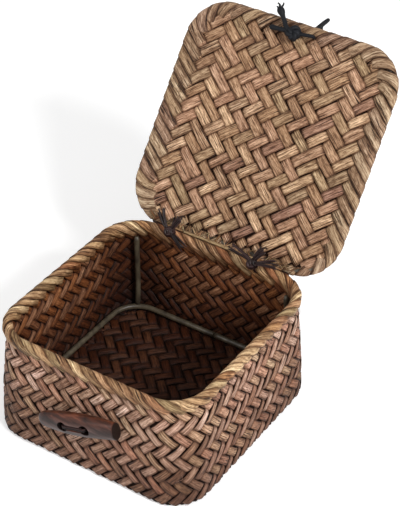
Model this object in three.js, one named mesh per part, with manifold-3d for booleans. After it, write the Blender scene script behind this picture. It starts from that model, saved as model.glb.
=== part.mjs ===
// A small woven box with a tied-on lid, in millimetres, +Z up.
// The origin is the middle of the base's underside, the front is -Y, and the lid stands open at the back.
import * as THREE from "three";
import { mergeVertices } from "three/addons/utils/BufferGeometryUtils.js";
import Module from "manifold-3d";

const wasm = await Module();
wasm.setup();

// Driving dimensions of the basket
const bodyLength = 120;
const bodyWidth = 122;
const bodyHeight = 64.4;
const bodyCornerRadius = 23;
const wallThickness = 2.8;
const baseThickness = 4;
const baseEdgeRadius = 3;
const baseCornerRadius = 20;
const baseBulge = 2.5;
const fitGap = 0.3;

// The plait of two families of strips, which cross in rows and columns, each strip over two and under two
const bodyPlaitPitch = 7.33;
const bodyPlaitRise = 3.69;
const bodyPlaitLevel = 17.46;
const bodyPlaitShift = 1.07;
const lidPlaitPitch = 9;
const lidPlaitRise = 3.9;
const lidPlaitShift = 0.48;
const plaitSink = 0.25;
const plaitPitDepth = 0.95;

// Wires of the frame
const rimWireDiameter = 2.8;
const frameWireDiameter = 3;
const buttGap = 0.4;
const postTopTurn = 11;
const postBaseTurn = 13;

// Strips folded over the basket's rim
const rimFoldWidth = 6;
const rimOuterDepth = 6.2;
const rimInnerDepth = 8;
const rimFoldPitch = 7.2;
const rimFoldSlant = -45;
const foldRelief = 0.6;

// The lid, measured closed
const lidLength = 126.3;
const lidWidth = 124.3;
const lidThickness = 5.2;
const lidCornerRadius = 23.6;
const lidPanelThickness = 2.6;
const lidWireDiameter = 2.6;
const lidBorderWidth = 8.5;
const lidFoldPitch = 7;
const lidFoldSlant = 38;
const lidSideShift = 1.4;
const lidOpenAngle = 127;

// The hinge line runs along the rim's outer edge
const hingeInset = 0.2;
const hingeRise = 0.3;
const lidBackOverhang = 1.7;
const tieSpacing = 50.7;
const tieCordDiameter = 1.2;
const tieLoopRadius = 6.8;
const tieHoleClearance = 0.3;
const tieKnotSize = 4.4;
const tieKnotAngle = 160;

// The toggle on the front wall
const toggleLength = 48;
const toggleHeight = 12.5;
const toggleDepth = 9;
const toggleLeftEndHeight = 8;
const toggleRightEndHeight = 9.4;
const toggleLeftEndRounding = 2.6;
const toggleRightEndRounding = 1;
const toggleCentreX = 1;
const toggleCentreHeight = 35.4;
const toggleTilt = 17;
const toggleStandoff = 1.2;
const toggleHoleSpacing = 14;
const toggleHoleDiameter = 4.6;
const toggleGrooveWidth = 3;
const lashingDiameter = 1.6;
const anchorKnotSize = 4;

// The closing cord
const closingCordDiameter = 1.9;
const stitchHoleClearance = 0.3;
const closingHoleSpacing = 8;
const closingHoleX = 10.7;
const closingHoleFromEdge = 5.4;
const closingKnotSize = 6.4;

// Overrun of every cut past the face that it opens
const overrun = 1;

const degrees = Math.PI / 180;
const quarterTurn = Math.PI / 2;

// Values that the sizes above settle
const bodyCore = { x: bodyLength / 2 - bodyCornerRadius, y: bodyWidth / 2 - bodyCornerRadius };
const rimCentreOffset = bodyCornerRadius - rimFoldWidth / 2;
const rimCentreHeight = bodyHeight - rimFoldWidth / 2;
const rimChannel = rimWireDiameter / 2 + fitGap;
const wallTopOffset = rimCentreOffset + wallThickness / 2;
const wallTopHeight = rimCentreHeight - rimWireDiameter / 2 - fitGap;
const bowTopHeight = bodyHeight - rimInnerDepth + fitGap;
const baseWireHeight = baseThickness + fitGap + frameWireDiameter / 2;
const wireInset = wallThickness + fitGap + frameWireDiameter / 2;

const lidCore = { x: lidLength / 2 - lidCornerRadius, y: lidWidth / 2 - lidCornerRadius };
const lidEdgeOffset = lidCornerRadius - lidThickness / 2;
const lidChannel = lidWireDiameter / 2 + fitGap;
const lidPanelOffset = lidEdgeOffset - lidWireDiameter / 2 - fitGap;
const lidMiddle = new THREE.Vector3(lidSideShift, lidBackOverhang - lidWidth / 2, lidThickness / 2);

const hingeY = bodyWidth / 2 - hingeInset;
const hingeHeight = bodyHeight + hingeRise;

// The basket's outer plan at a height. The walls bow out towards the base, where the corners are sharper.
function wallPlan(height) {
  const drop = Math.max(0, bowTopHeight - height) / bowTopHeight;
  const reach = wallTopOffset + baseBulge * Math.sin(quarterTurn * drop);
  const radius = wallTopOffset + (baseCornerRadius - wallTopOffset) * drop;
  const core = { x: bodyCore.x + reach - radius, y: bodyCore.y + reach - radius };
  return { core, radius };
}

// The direction at an angle in the plan.
function heading(angle) {
  return new THREE.Vector2(Math.cos(angle), Math.sin(angle));
}

// The four corners of a plan's core, counter-clockwise from the one at +X +Y.
function coreCorners(core) {
  return [
    new THREE.Vector2(core.x, core.y),
    new THREE.Vector2(-core.x, core.y),
    new THREE.Vector2(-core.x, -core.y),
    new THREE.Vector2(core.x, -core.y),
  ];
}

// Stations round a rounded rectangle: each has its foot on the core and its outward normal.
function planStations(core, cornerSteps) {
  const stations = [];
  coreCorners(core).forEach((foot, corner) => {
    for (let step = 0; step <= cornerSteps; step++) {
      stations.push({ foot, normal: heading(quarterTurn * (corner + step / cornerSteps)) });
    }
  });
  return stations;
}

// The length of a rounded rectangle at an offset from its core.
function planLength(core, offset) {
  return 4 * core.x + 4 * core.y + 2 * Math.PI * offset;
}

// The station at a distance along the rounded rectangle at an offset from its core.
function stationAt(core, offset, distance) {
  const corners = coreCorners(core);
  const whole = planLength(core, offset);
  let left = ((distance % whole) + whole) % whole;
  for (let side = 0; side < corners.length; side++) {
    const from = corners[(side + corners.length - 1) % corners.length];
    const to = corners[side];
    const straight = from.distanceTo(to);
    if (left < straight) {
      return { foot: from.clone().lerp(to, left / straight), normal: heading(quarterTurn * side) };
    }
    left -= straight;
    const arc = quarterTurn * offset;
    if (left < arc) {
      return { foot: to, normal: heading(quarterTurn * side + left / offset) };
    }
    left -= arc;
  }
  return { foot: corners[corners.length - 1], normal: heading(0) };
}

function atStation(station, offset, height) {
  return new THREE.Vector3(
    station.foot.x + station.normal.x * offset,
    station.foot.y + station.normal.y * offset,
    height,
  );
}

// A closed surface through rings of points. The first and last ring are joined to each other, or capped.
// Where leansBack says so, the fold of a face in a band of the surface runs the other way.
function loft(rings, joined, leansBack = () => false) {
  const count = rings[0].length;
  const positions = rings.flat().flatMap((point) => point.toArray());
  const faces = [];
  const bands = joined ? rings.length : rings.length - 1;
  for (let band = 0; band < bands; band++) {
    const low = band * count;
    const high = ((band + 1) % rings.length) * count;
    for (let i = 0; i < count; i++) {
      const next = (i + 1) % count;
      if (leansBack(band, i)) {
        faces.push(low + i, low + next, high + i, low + next, high + next, high + i);
      } else {
        faces.push(low + i, low + next, high + next, low + i, high + next, high + i);
      }
    }
  }
  if (!joined) {
    [0, rings.length - 1].forEach((ring, end) => {
      const middle = new THREE.Vector3();
      rings[ring].forEach((point) => middle.addScaledVector(point, 1 / count));
      const centre = positions.length / 3;
      positions.push(...middle.toArray());
      for (let i = 0; i < count; i++) {
        const next = (i + 1) % count;
        const pair = end ? [ring * count + i, ring * count + next] : [next, i];
        faces.push(centre, ...pair);
      }
    });
  }
  const geometry = new THREE.BufferGeometry();
  geometry.setAttribute("position", new THREE.Float32BufferAttribute(positions, 3));
  geometry.setIndex(faces);
  return geometry;
}

// A closed geometry as a solid that can be cut and joined.
function solid(geometry) {
  const bare = geometry.clone();
  bare.deleteAttribute("normal");
  bare.deleteAttribute("uv");
  const merged = mergeVertices(bare);
  return new wasm.Manifold(
    new wasm.Mesh({
      numProp: 3,
      vertProperties: new Float32Array(merged.attributes.position.array),
      triVerts: new Uint32Array(merged.index.array),
    }),
  );
}

function geometryOf(body) {
  const mesh = body.getMesh();
  const geometry = new THREE.BufferGeometry();
  geometry.setAttribute("position", new THREE.BufferAttribute(mesh.vertProperties, 3));
  geometry.setIndex(new THREE.BufferAttribute(mesh.triVerts, 1));
  return geometry;
}

function cut(geometry, cutters) {
  return geometryOf(cutters.reduce((left, cutter) => left.subtract(solid(cutter)), solid(geometry)));
}

function join(geometries) {
  return geometryOf(geometries.map(solid).reduce((whole, piece) => whole.add(piece)));
}

// A round cord of a diameter along a list of points, with flat ends.
function cordAlong(points, diameter, sides, steps) {
  const section = new THREE.Shape(
    Array.from({ length: sides }, (_, i) => heading((2 * Math.PI * i) / sides).multiplyScalar(diameter / 2)),
  );
  return new THREE.ExtrudeGeometry(section, {
    steps,
    bevelEnabled: false,
    extrudePath: new THREE.CatmullRomCurve3(points, false, "centripetal"),
  });
}

// A straight rod or drill between two points.
function rod(from, to, diameter, sides) {
  const length = from.distanceTo(to);
  const geometry = new THREE.CylinderGeometry(diameter / 2, diameter / 2, length, sides);
  const up = new THREE.Vector3(0, 1, 0);
  const turn = new THREE.Quaternion().setFromUnitVectors(up, to.clone().sub(from).divideScalar(length));
  geometry.applyQuaternion(turn);
  const middle = from.clone().lerp(to, 1 / 2);
  geometry.translate(middle.x, middle.y, middle.z);
  return geometry;
}

// A tied lump of cord, a little flattened.
function lump(centre, size) {
  const geometry = new THREE.SphereGeometry(size / 2, lumpMeridians, lumpParallels);
  geometry.scale(1, 1, lumpFlatnessShare);
  geometry.translate(centre.x, centre.y, centre.z);
  return geometry;
}
const lumpMeridians = 10;
const lumpParallels = 7;
const lumpFlatnessShare = 0.8;

// In the plait, crossings have an even sum of row and column, and pits lie between them. A strip that stays
// on top from one crossing to the next makes a ridge there, and elsewhere a groove runs between strips.
function isCrossing(row, column) {
  return (row + column) % 2 === 0;
}

function foldsBack(row, column, risingOnTop) {
  const rising = isCrossing(row, column);
  const [from, to] = rising ? [column, column + 1] : [column + 1, column];
  const ridge = risingOnTop(row, from) === rising && risingOnTop(row + 1, to) === rising;
  return rising !== ridge;
}

// A whole number's place in a repeat of four.
function inRepeat(number) {
  return ((number % 4) + 4) % 4;
}

// Round the walls, whole rows of the rising strips lie outside, then whole rows of the falling ones.
function risingOnWall(row) {
  return inRepeat(row) < 2;
}

// The lid has such rows in its middle and columns of them at its left and right.
function risingOnLid(row, column) {
  if (column <= -lidBandColumn) {
    return inRepeat(column) >= 2;
  }
  if (column >= lidBandColumn) {
    return inRepeat(column + 1) < 2;
  }
  return inRepeat(row) >= 2;
}
const lidBandColumn = 7;

// The basket's outside as a closed form: its base edge, then the plait's rows up the walls.
function basketOutside() {
  const middle = wallPlan(bowTopHeight / 2);
  const whole = planLength(middle.core, middle.radius);
  const columns = 2 * Math.round(whole / bodyPlaitPitch);
  const start = middle.core.x + quarterTurn * middle.radius + bodyPlaitShift;
  const stations = Array.from({ length: columns }, (_, column) =>
    stationAt(middle.core, middle.radius, (whole * column) / columns - start),
  );
  const ringAt = (height, insetOf) => {
    const { core, radius } = wallPlan(height);
    return stations.map(({ foot, normal }, column) => {
      const place = new THREE.Vector2((foot.x * core.x) / middle.core.x, (foot.y * core.y) / middle.core.y);
      return atStation({ foot: place, normal }, radius - insetOf(column), height);
    });
  };
  const rings = [];
  for (let step = 0; step <= baseEdgeSteps; step++) {
    const angle = (quarterTurn * step) / baseEdgeSteps;
    const inset = baseEdgeRadius * (1 - Math.sin(angle));
    rings.push(ringAt(baseEdgeRadius * (1 - Math.cos(angle)), () => inset));
  }
  const lowest = Math.ceil((baseEdgeRadius + plaitPitDepth - bodyPlaitLevel) / bodyPlaitRise);
  const highest = Math.floor((wallTopHeight - plaitPitDepth - bodyPlaitLevel) / bodyPlaitRise);
  const firstRow = rings.length;
  for (let row = lowest; row <= highest; row++) {
    const inset = (column) => plaitSink + (isCrossing(row, column) ? 0 : plaitPitDepth);
    rings.push(ringAt(bodyPlaitLevel + bodyPlaitRise * row, inset));
  }
  rings.push(ringAt(wallTopHeight, () => plaitSink));
  return loft(rings, false, (band, column) => {
    const row = lowest + band - firstRow;
    return row >= lowest && row < highest && foldsBack(row, column, risingOnWall);
  });
}
const baseEdgeSteps = 2;

// The room inside the basket, from its floor to above its walls.
function basketRoom() {
  const profile = [];
  const innerRadius = frameWireDiameter / 2;
  for (let step = 0; step <= baseEdgeSteps; step++) {
    const angle = (quarterTurn * step) / baseEdgeSteps;
    const [across, up] = [1 - Math.sin(angle), 1 - Math.cos(angle)];
    profile.push([wallThickness + innerRadius * across, baseThickness + innerRadius * up]);
  }
  for (const share of wallHeightShares) {
    const height = baseThickness + innerRadius + (bowTopHeight - baseThickness - innerRadius) * share;
    profile.push([wallThickness, height]);
  }
  profile.push([wallThickness, wallTopHeight + overrun]);
  const rings = profile.map(([inset, height]) => {
    const { core, radius } = wallPlan(height);
    return planStations(core, cornerSteps).map((station) => atStation(station, radius - inset, height));
  });
  return loft(rings, false);
}
const wallHeightShares = [0.12, 0.4, 0.7, 1];
const cornerSteps = 8;

function basketShell() {
  return cut(basketOutside(), [basketRoom()]);
}

// A ring of strips folded over an edge at a slant, which leans them against the way round or along it. The
// outline and channel are points of the ring's section, as distances out from the crown's centre and up from
// it, from one leg's end over the crown to the other's.
function foldedEdge({ core, offset, height, outline, channel, pitch, slant }) {
  const folds = Math.round(planLength(core, offset) / pitch);
  const lengths = contourLengths(outline);
  const crown = lengths[lengths.length - 1] / 2;
  const slope = Math.tan(slant * degrees);
  const outer = outline.map(([out, up], i) => ({ out, up, along: (lengths[i] - crown) * slope, relief: true }));
  const inner = channel.map(([out, up]) => ({ out, up, along: 0, relief: false }));
  const section = [...outer, ...inner].reverse();
  const rings = [];
  for (let station = 0; station < 2 * folds; station++) {
    const distance = (planLength(core, offset) * station) / (2 * folds);
    const sunk = station % 2;
    rings.push(
      section.map(({ out, up, along, relief }) => {
        const reach = Math.hypot(out, up);
        const shrink = relief ? 1 - (sunk * foldRelief) / reach : 1;
        const foot = stationAt(core, offset, distance + along);
        return atStation(foot, offset + out * shrink, height + up * shrink);
      }),
    );
  }
  return loft(rings, true);
}

// Distances along a contour to each of its points.
function contourLengths(points) {
  const lengths = [0];
  for (let i = 1; i < points.length; i++) {
    const [fromOut, fromUp] = points[i - 1];
    const [toOut, toUp] = points[i];
    lengths.push(lengths[i - 1] + Math.hypot(toOut - fromOut, toUp - fromUp));
  }
  return lengths;
}

const crownSteps = 3;

// Points of a half circle from one side over the top to the other.
function crownArc(radius, steps) {
  return Array.from({ length: steps + 1 }, (_, i) => {
    const angle = (Math.PI * i) / steps;
    return [radius * Math.cos(angle), radius * Math.sin(angle)];
  });
}

function basketRim() {
  const radius = rimFoldWidth / 2;
  const outerLeg = rimOuterDepth - radius;
  const innerLeg = rimInnerDepth - radius;
  return foldedEdge({
    core: bodyCore,
    offset: rimCentreOffset,
    height: rimCentreHeight,
    outline: [[radius, -outerLeg], ...crownArc(radius, crownSteps), [-radius, -innerLeg]],
    channel: [
      [-rimChannel, -innerLeg],
      [-rimChannel, rimChannel],
      [rimChannel, rimChannel],
      [rimChannel, -outerLeg],
    ],
    pitch: rimFoldPitch,
    slant: rimFoldSlant,
  });
}

function lidBorder() {
  const radius = lidThickness / 2;
  const leg = lidBorderWidth - radius;
  const arc = crownArc(radius, crownSteps).map(([out, up]) => [up, -out]);
  return foldedEdge({
    core: lidCore,
    offset: lidEdgeOffset,
    height: 0,
    outline: [[-leg, -radius], ...arc, [-leg, radius]],
    channel: [
      [-leg, lidChannel],
      [lidChannel, lidChannel],
      [lidChannel, -lidChannel],
      [-leg, -lidChannel],
    ],
    pitch: lidFoldPitch,
    slant: lidFoldSlant,
  });
}

const wireSides = 8;
const postSides = 12;

// A wire bent round a rounded rectangle into a ring with no end.
function closedWire(core, offset, height, diameter) {
  const stations = planStations(core, cornerSteps);
  return loft(
    stations.map((station) => wireSection(station, offset, height, diameter)),
    true,
  );
}

function wireSection(station, offset, height, diameter) {
  return Array.from({ length: wireSides }, (_, i) => {
    const spot = heading((-2 * Math.PI * (i + 1 / 2)) / wireSides).multiplyScalar(diameter / 2);
    return atStation(station, offset + spot.x, height + spot.y);
  });
}

// The wire on the floor of the basket, whose ends meet in the middle of the back.
function baseWire() {
  const { core, radius } = wallPlan(baseWireHeight);
  const corners = planStations(core, cornerSteps);
  const quarter = corners.length / 4;
  const fromBack = [...corners.slice(quarter), ...corners.slice(0, quarter)];
  const end = (side) => ({
    foot: new THREE.Vector2((side * buttGap) / 2, core.y),
    normal: heading(quarterTurn),
  });
  const stations = [end(-1), ...fromBack, end(1)];
  const rings = stations.map((station) =>
    wireSection(station, radius - wireInset, baseWireHeight, frameWireDiameter),
  );
  return loft(rings, false);
}

// A corner post stands on the base wire, leans along the wall and ends under the rim's inner leg.
function cornerPost(signX, signY) {
  const place = (height, turn) => {
    const { core, radius } = wallPlan(height);
    const direction = heading(quarterTurn / 2 + turn * degrees).multiplyScalar(radius - wireInset);
    return new THREE.Vector3(signX * (core.x + direction.x), signY * (core.y + direction.y), height);
  };
  const low = place(baseWireHeight + frameWireDiameter / 2 + fitGap, postBaseTurn);
  const high = place(bodyHeight - rimInnerDepth - fitGap, postTopTurn);
  return rod(low, high, frameWireDiameter, postSides);
}

// The lid's plaited mat, inside its border, with the plait's relief on the inner face, which the open lid
// shows. The outer face is plain.
function lidMat() {
  const stations = planStations(lidCore, cornerSteps);
  const [under, over] = [-lidPanelThickness, lidPanelThickness / 2];
  const blank = loft(
    [under, over].map((height) => stations.map((station) => atStation(station, lidPanelOffset, height))),
    false,
  );
  const columnReach = Math.ceil((2 * (lidCore.x + lidPanelOffset + lidSideShift)) / lidPlaitPitch) + 1;
  const rows = Math.ceil((lidCore.y + lidPanelOffset - lidMiddle.y) / lidPlaitRise);
  const columns = Array.from({ length: 2 * columnReach + 1 }, (_, i) => i - columnReach);
  const place = (row, column, height) =>
    new THREE.Vector3(
      (column * lidPlaitPitch) / 2 - lidPlaitShift - lidMiddle.x,
      -row * lidPlaitRise - lidMiddle.y,
      height,
    );
  const rings = Array.from({ length: rows + 1 }, (_, row) => [
    ...columns.map((column) => place(row, column, (isCrossing(row, column) ? 0 : plaitPitDepth) - over)),
    place(row, columns[columns.length - 1], over + overrun),
    place(row, columns[0], over + overrun),
  ]);
  const slab = loft(rings, false, (row, i) => i < columns.length && foldsBack(row, columns[i], risingOnLid));
  return geometryOf(solid(slab).intersect(solid(blank)));
}

// The round loop that ties the lid to the rim turns about the hinge line.
function tieLoop(x, cordDiameter) {
  const geometry = new THREE.TorusGeometry(tieLoopRadius, cordDiameter / 2, thinCordSides, tieLoopSteps);
  geometry.rotateY(quarterTurn);
  geometry.translate(x, hingeY, hingeHeight);
  return geometry;
}

function tieCutters() {
  return tieSides.map((side) => tieLoop((side * tieSpacing) / 2, tieCordDiameter + 2 * tieHoleClearance));
}
const tieSides = [-1, 1];
const tieLoopSteps = 28;
const thinCordSides = 6;
const cordSides = 8;

// A tie's knot sits on the loop in the crease between the rim and the open lid, with its cut ends spread.
function tieKnot(side) {
  const angle = tieKnotAngle * degrees;
  const reach = tieLoopRadius + tieCordDiameter / 2 + fitGap + (tieKnotSize * lumpFlatnessShare) / 2;
  const centre = new THREE.Vector3(
    (side * tieSpacing) / 2,
    hingeY + reach * Math.cos(angle),
    hingeHeight + reach * Math.sin(angle),
  );
  const tails = (side < 0 ? leftTails : rightTails).map((points) =>
    cordAlong(
      [centre, ...points.map((point) => centre.clone().add(point))],
      tieCordDiameter,
      thinCordSides,
      tieTailSteps,
    ),
  );
  return join([lump(centre, tieKnotSize), ...tails]);
}

// The cut ends' routes from the knot's centre.
const tieTailSteps = 8;
const leftTails = [
  [new THREE.Vector3(-3.2, 0.6, 2.6), new THREE.Vector3(-6.4, 2.6, 6.4), new THREE.Vector3(-8.6, 4.6, 9.8)],
  [new THREE.Vector3(1.6, 0.8, 3.0), new THREE.Vector3(2.6, 2.6, 6.2), new THREE.Vector3(3.4, 4.4, 9.0)],
  [new THREE.Vector3(3.6, -1.4, -0.8), new THREE.Vector3(7.6, -2.0, -3.6), new THREE.Vector3(11.6, -1.8, -7.2)],
];
const rightTails = [
  [new THREE.Vector3(-2.6, 0.4, 2.2), new THREE.Vector3(-8.8, 1.4, 3.4), new THREE.Vector3(-15.4, 2.2, 3.9)],
  [new THREE.Vector3(1.0, 1.0, 3.2), new THREE.Vector3(3.0, 3.0, 6.4), new THREE.Vector3(5.2, 4.6, 9.2)],
  [new THREE.Vector3(3.4, 0.2, 1.4), new THREE.Vector3(9.2, 1.2, 3.0), new THREE.Vector3(15.8, 2.2, 3.9)],
];

// The toggle is a round bar, a little flat, thinner at its ends. Its cord has two holes and a groove between
// them, across the front.
function toggleBar() {
  const half = toggleLength / 2;
  const [left, right] = [toggleLeftEndHeight / 2, toggleRightEndHeight / 2];
  const swell = toggleSwellShares.map(([lengthShare, heightShare]) => {
    const end = lengthShare < 0 ? left : right;
    return new THREE.Vector2(end + (toggleHeight / 2 - end) * heightShare, lengthShare * half);
  });
  const profile = [
    new THREE.Vector2(0, -half),
    new THREE.Vector2(left - toggleLeftEndRounding, -half),
    new THREE.Vector2(left, toggleLeftEndRounding - half),
    ...swell,
    new THREE.Vector2(right, half - toggleRightEndRounding),
    new THREE.Vector2(right - toggleRightEndRounding, half),
    new THREE.Vector2(0, half),
  ];
  const bar = new THREE.LatheGeometry(profile, toggleSides);
  bar.rotateZ(-quarterTurn);
  bar.scale(1, toggleDepth / toggleHeight, 1);
  const reach = toggleDepth / 2 + overrun;
  const holes = toggleHoleXs.map((x) =>
    rod(new THREE.Vector3(x, -reach, 0), new THREE.Vector3(x, reach, 0), toggleHoleDiameter, holeSides),
  );
  const ends = toggleHoleXs.map((x) => new THREE.Vector3(x, -toggleDepth / 2, 0));
  return cut(bar, [...holes, rod(...ends, toggleGrooveWidth, holeSides)]);
}
const toggleSides = 20;
const holeSides = 12;
const toggleSwellShares = [[-0.66, 0.45], [-0.33, 0.86], [0, 1], [0.33, 0.86], [0.66, 0.45]];
const toggleHoleXs = [-toggleHoleSpacing / 2, toggleHoleSpacing / 2];

// The cord stitched through the toggle: down one hole, along the groove and back through the other.
function toggleStitch() {
  const back = toggleDepth / 2 + fitGap;
  const front = -toggleDepth / 2 - fitGap;
  const x = toggleHoleSpacing / 2;
  const points = [
    new THREE.Vector3(-x, back, 0),
    new THREE.Vector3(-x, 0, 0),
    new THREE.Vector3(-x, front * stitchShoulderShare, 0),
    new THREE.Vector3(-x * stitchRunShare, front, 0),
    new THREE.Vector3(0, front, 0),
    new THREE.Vector3(x * stitchRunShare, front, 0),
    new THREE.Vector3(x, front * stitchShoulderShare, 0),
    new THREE.Vector3(x, 0, 0),
    new THREE.Vector3(x, back, 0),
  ];
  return cordAlong(points, lashingDiameter, cordSides, lashingSteps);
}
const lashingSteps = 28;
const stitchShoulderShare = 0.8;
const stitchRunShare = 0.75;

// The same cord goes on through the wall and is knotted inside the basket.
function wallStitch() {
  const outside = toggleStandoff - 2 * fitGap;
  const inside = toggleStandoff + wallThickness + 2 * fitGap + lashingDiameter / 2;
  const x = toggleHoleSpacing / 2;
  const points = [
    new THREE.Vector3(-x, outside, 0),
    new THREE.Vector3(-x, inside - lashingDiameter, 0),
    new THREE.Vector3(-x * stitchShoulderShare, inside, 0),
    new THREE.Vector3(0, inside, 0),
    new THREE.Vector3(x * stitchShoulderShare, inside, 0),
    new THREE.Vector3(x, inside - lashingDiameter, 0),
    new THREE.Vector3(x, outside, 0),
  ];
  const knot = lump(new THREE.Vector3(0, inside + lashingDiameter / 2, 0), anchorKnotSize);
  return join([cordAlong(points, lashingDiameter, thinCordSides, anchorSteps), knot]);
}

const anchorSteps = 18;

function wallStitchHoles() {
  return toggleHoleXs.map((x) =>
    rod(
      new THREE.Vector3(x, -overrun, 0),
      new THREE.Vector3(x, toggleStandoff + wallThickness + baseBulge, 0),
      lashingDiameter + 2 * stitchHoleClearance,
      holeSides,
    ),
  );
}

// The closing cord's route on the outside of the lid, as offsets from the middle of its two holes: out of
// one hole, up past the free edge, back down behind the lid, round, up again inside its first bend and down to
// the other hole.
const closingRoute = [
  new THREE.Vector3(4.0, 0.0, 0.3),
  new THREE.Vector3(3.9, -0.3, 1.4),
  new THREE.Vector3(3.0, -1.8, 2.3),
  new THREE.Vector3(1.0, -5.2, 2.4),
  new THREE.Vector3(2.5, -8.7, 3.2),
  new THREE.Vector3(3.4, -11.1, 5.1),
  new THREE.Vector3(2.7, -11.9, 8.1),
  new THREE.Vector3(0.8, -10.6, 10.4),
  new THREE.Vector3(-1.1, -8.1, 11.0),
  new THREE.Vector3(-2.6, -4.4, 11.4),
  new THREE.Vector3(-4.2, 1.5, 12.4),
  new THREE.Vector3(-5.2, 8.0, 12.8),
  new THREE.Vector3(-5.2, 15.0, 12.6),
  new THREE.Vector3(-3.6, 20.6, 12.3),
  new THREE.Vector3(-0.4, 23.4, 12.2),
  new THREE.Vector3(2.8, 21.6, 12.2),
  new THREE.Vector3(4.8, 16.5, 12.2),
  new THREE.Vector3(5.2, 9.5, 11.8),
  new THREE.Vector3(4.6, 3.0, 10.6),
  new THREE.Vector3(2.6, -2.4, 9.0),
  new THREE.Vector3(0.6, -6.2, 8.3),
  new THREE.Vector3(0.1, -8.3, 8.5),
  new THREE.Vector3(0.8, -9.4, 8.3),
  new THREE.Vector3(1.5, -9.9, 7.4),
  new THREE.Vector3(1.8, -9.4, 6.2),
  new THREE.Vector3(1.3, -8.1, 5.3),
  new THREE.Vector3(-1.0, -4.8, 4.5),
  new THREE.Vector3(-3.2, -2.2, 3.7),
  new THREE.Vector3(-4.0, -0.6, 2.0),
  new THREE.Vector3(-4.0, 0.0, 0.3),
];

// The closing cord's cut ends on the lid's inner face, in the same offsets.
const closingTails = [
  [
    new THREE.Vector3(-10.8, -0.4, -3.0),
    new THREE.Vector3(-13.7, -3.7, -2.6),
    new THREE.Vector3(-18.4, -9.0, -2.4),
  ],
  [
    new THREE.Vector3(-10.6, 1.2, -2.9),
    new THREE.Vector3(-14.9, 1.4, -2.5),
    new THREE.Vector3(-20.0, 1.6, -2.0),
  ],
];

// The middle of the closing cord's two holes, on the lid's outer face or its inner one, in the lid's frame.
function closingHoleMiddle(outerSide) {
  return new THREE.Vector3(
    closingHoleX - closingHoleSpacing / 2,
    lidBackOverhang - lidWidth + closingHoleFromEdge,
    outerSide ? lidThickness : 0,
  );
}

function closingLoop() {
  const middle = closingHoleMiddle(true);
  const points = closingRoute.map((point) => middle.clone().add(point));
  return cordAlong(points, closingCordDiameter, thinCordSides, closingLoopSteps);
}

// The knot takes both ends of the cord, which come through the lid's two holes.
function closingKnot() {
  const middle = closingHoleMiddle(false);
  const lift = closingCordDiameter / 2 + fitGap;
  const centre = middle.clone().add(new THREE.Vector3(-knotFromHoles, knotDrop, -knotRise));
  const ends = [-1, 1].map((side) => {
    const x = (side * closingHoleSpacing) / 2;
    return cordAlong(
      [
        middle.clone().add(new THREE.Vector3(x, 0, lidThickness)),
        middle.clone().add(new THREE.Vector3(x, 0, 0)),
        middle.clone().add(new THREE.Vector3(x - lift, 0, -lift)),
        centre,
      ],
      closingCordDiameter,
      cordSides,
      closingEndSteps,
    );
  });
  const tails = closingTails.map((points) =>
    cordAlong(
      [centre, ...points.map((point) => middle.clone().add(point))],
      closingCordDiameter,
      thinCordSides,
      closingEndSteps,
    ),
  );
  return join([lump(centre, closingKnotSize), ...ends, ...tails]);
}
const closingLoopSteps = 52;
const closingEndSteps = 12;
const knotFromHoles = 6.2;
const knotDrop = 1.4;
const knotRise = 3;

function closingHoles() {
  const middle = closingHoleMiddle(false);
  return [-1, 1].map((side) => {
    const x = middle.x + (side * closingHoleSpacing) / 2;
    return rod(
      new THREE.Vector3(x, middle.y, -overrun),
      new THREE.Vector3(x, middle.y, lidThickness + overrun),
      closingCordDiameter + 2 * stitchHoleClearance,
      holeSides,
    );
  });
}

// Materials, one to a mesh
function strawLook(color) {
  return new THREE.MeshStandardMaterial({ color, roughness: 0.75, metalness: 0 });
}

function cordLook() {
  return new THREE.MeshStandardMaterial({ color: 0x2a1f22, roughness: 0.6, metalness: 0 });
}

function wireLook() {
  return new THREE.MeshStandardMaterial({ color: 0x6d6a58, roughness: 0.45, metalness: 0.3 });
}

function part(name, geometry, material) {
  geometry.computeVertexNormals();
  const mesh = new THREE.Mesh(geometry, material);
  mesh.name = name;
  return mesh;
}

// The lid's frame has its origin on the hinge line, and the closed lid runs from there to -Y.
function lidFrame() {
  const group = new THREE.Group();
  group.position.set(0, hingeY, hingeHeight);
  group.rotation.x = -lidOpenAngle * degrees;
  return group;
}

// A tie turns about the hinge line, so the same ring cuts the lid wherever the lid stands.
function cutForTies(geometry) {
  const cutters = tieCutters().map((cutter) => cutter.translate(0, -hingeY, -hingeHeight));
  return cut(geometry, cutters);
}

// The toggle's frame has its origin in the middle of the bar, whose length lies along X.
function toggleFrame() {
  const group = new THREE.Group();
  const { core, radius } = wallPlan(toggleCentreHeight);
  const wallFace = -core.y - radius;
  group.position.set(toggleCentreX, wallFace - toggleStandoff - toggleDepth / 2, toggleCentreHeight);
  group.rotation.y = -toggleTilt * degrees;
  return group;
}

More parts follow.
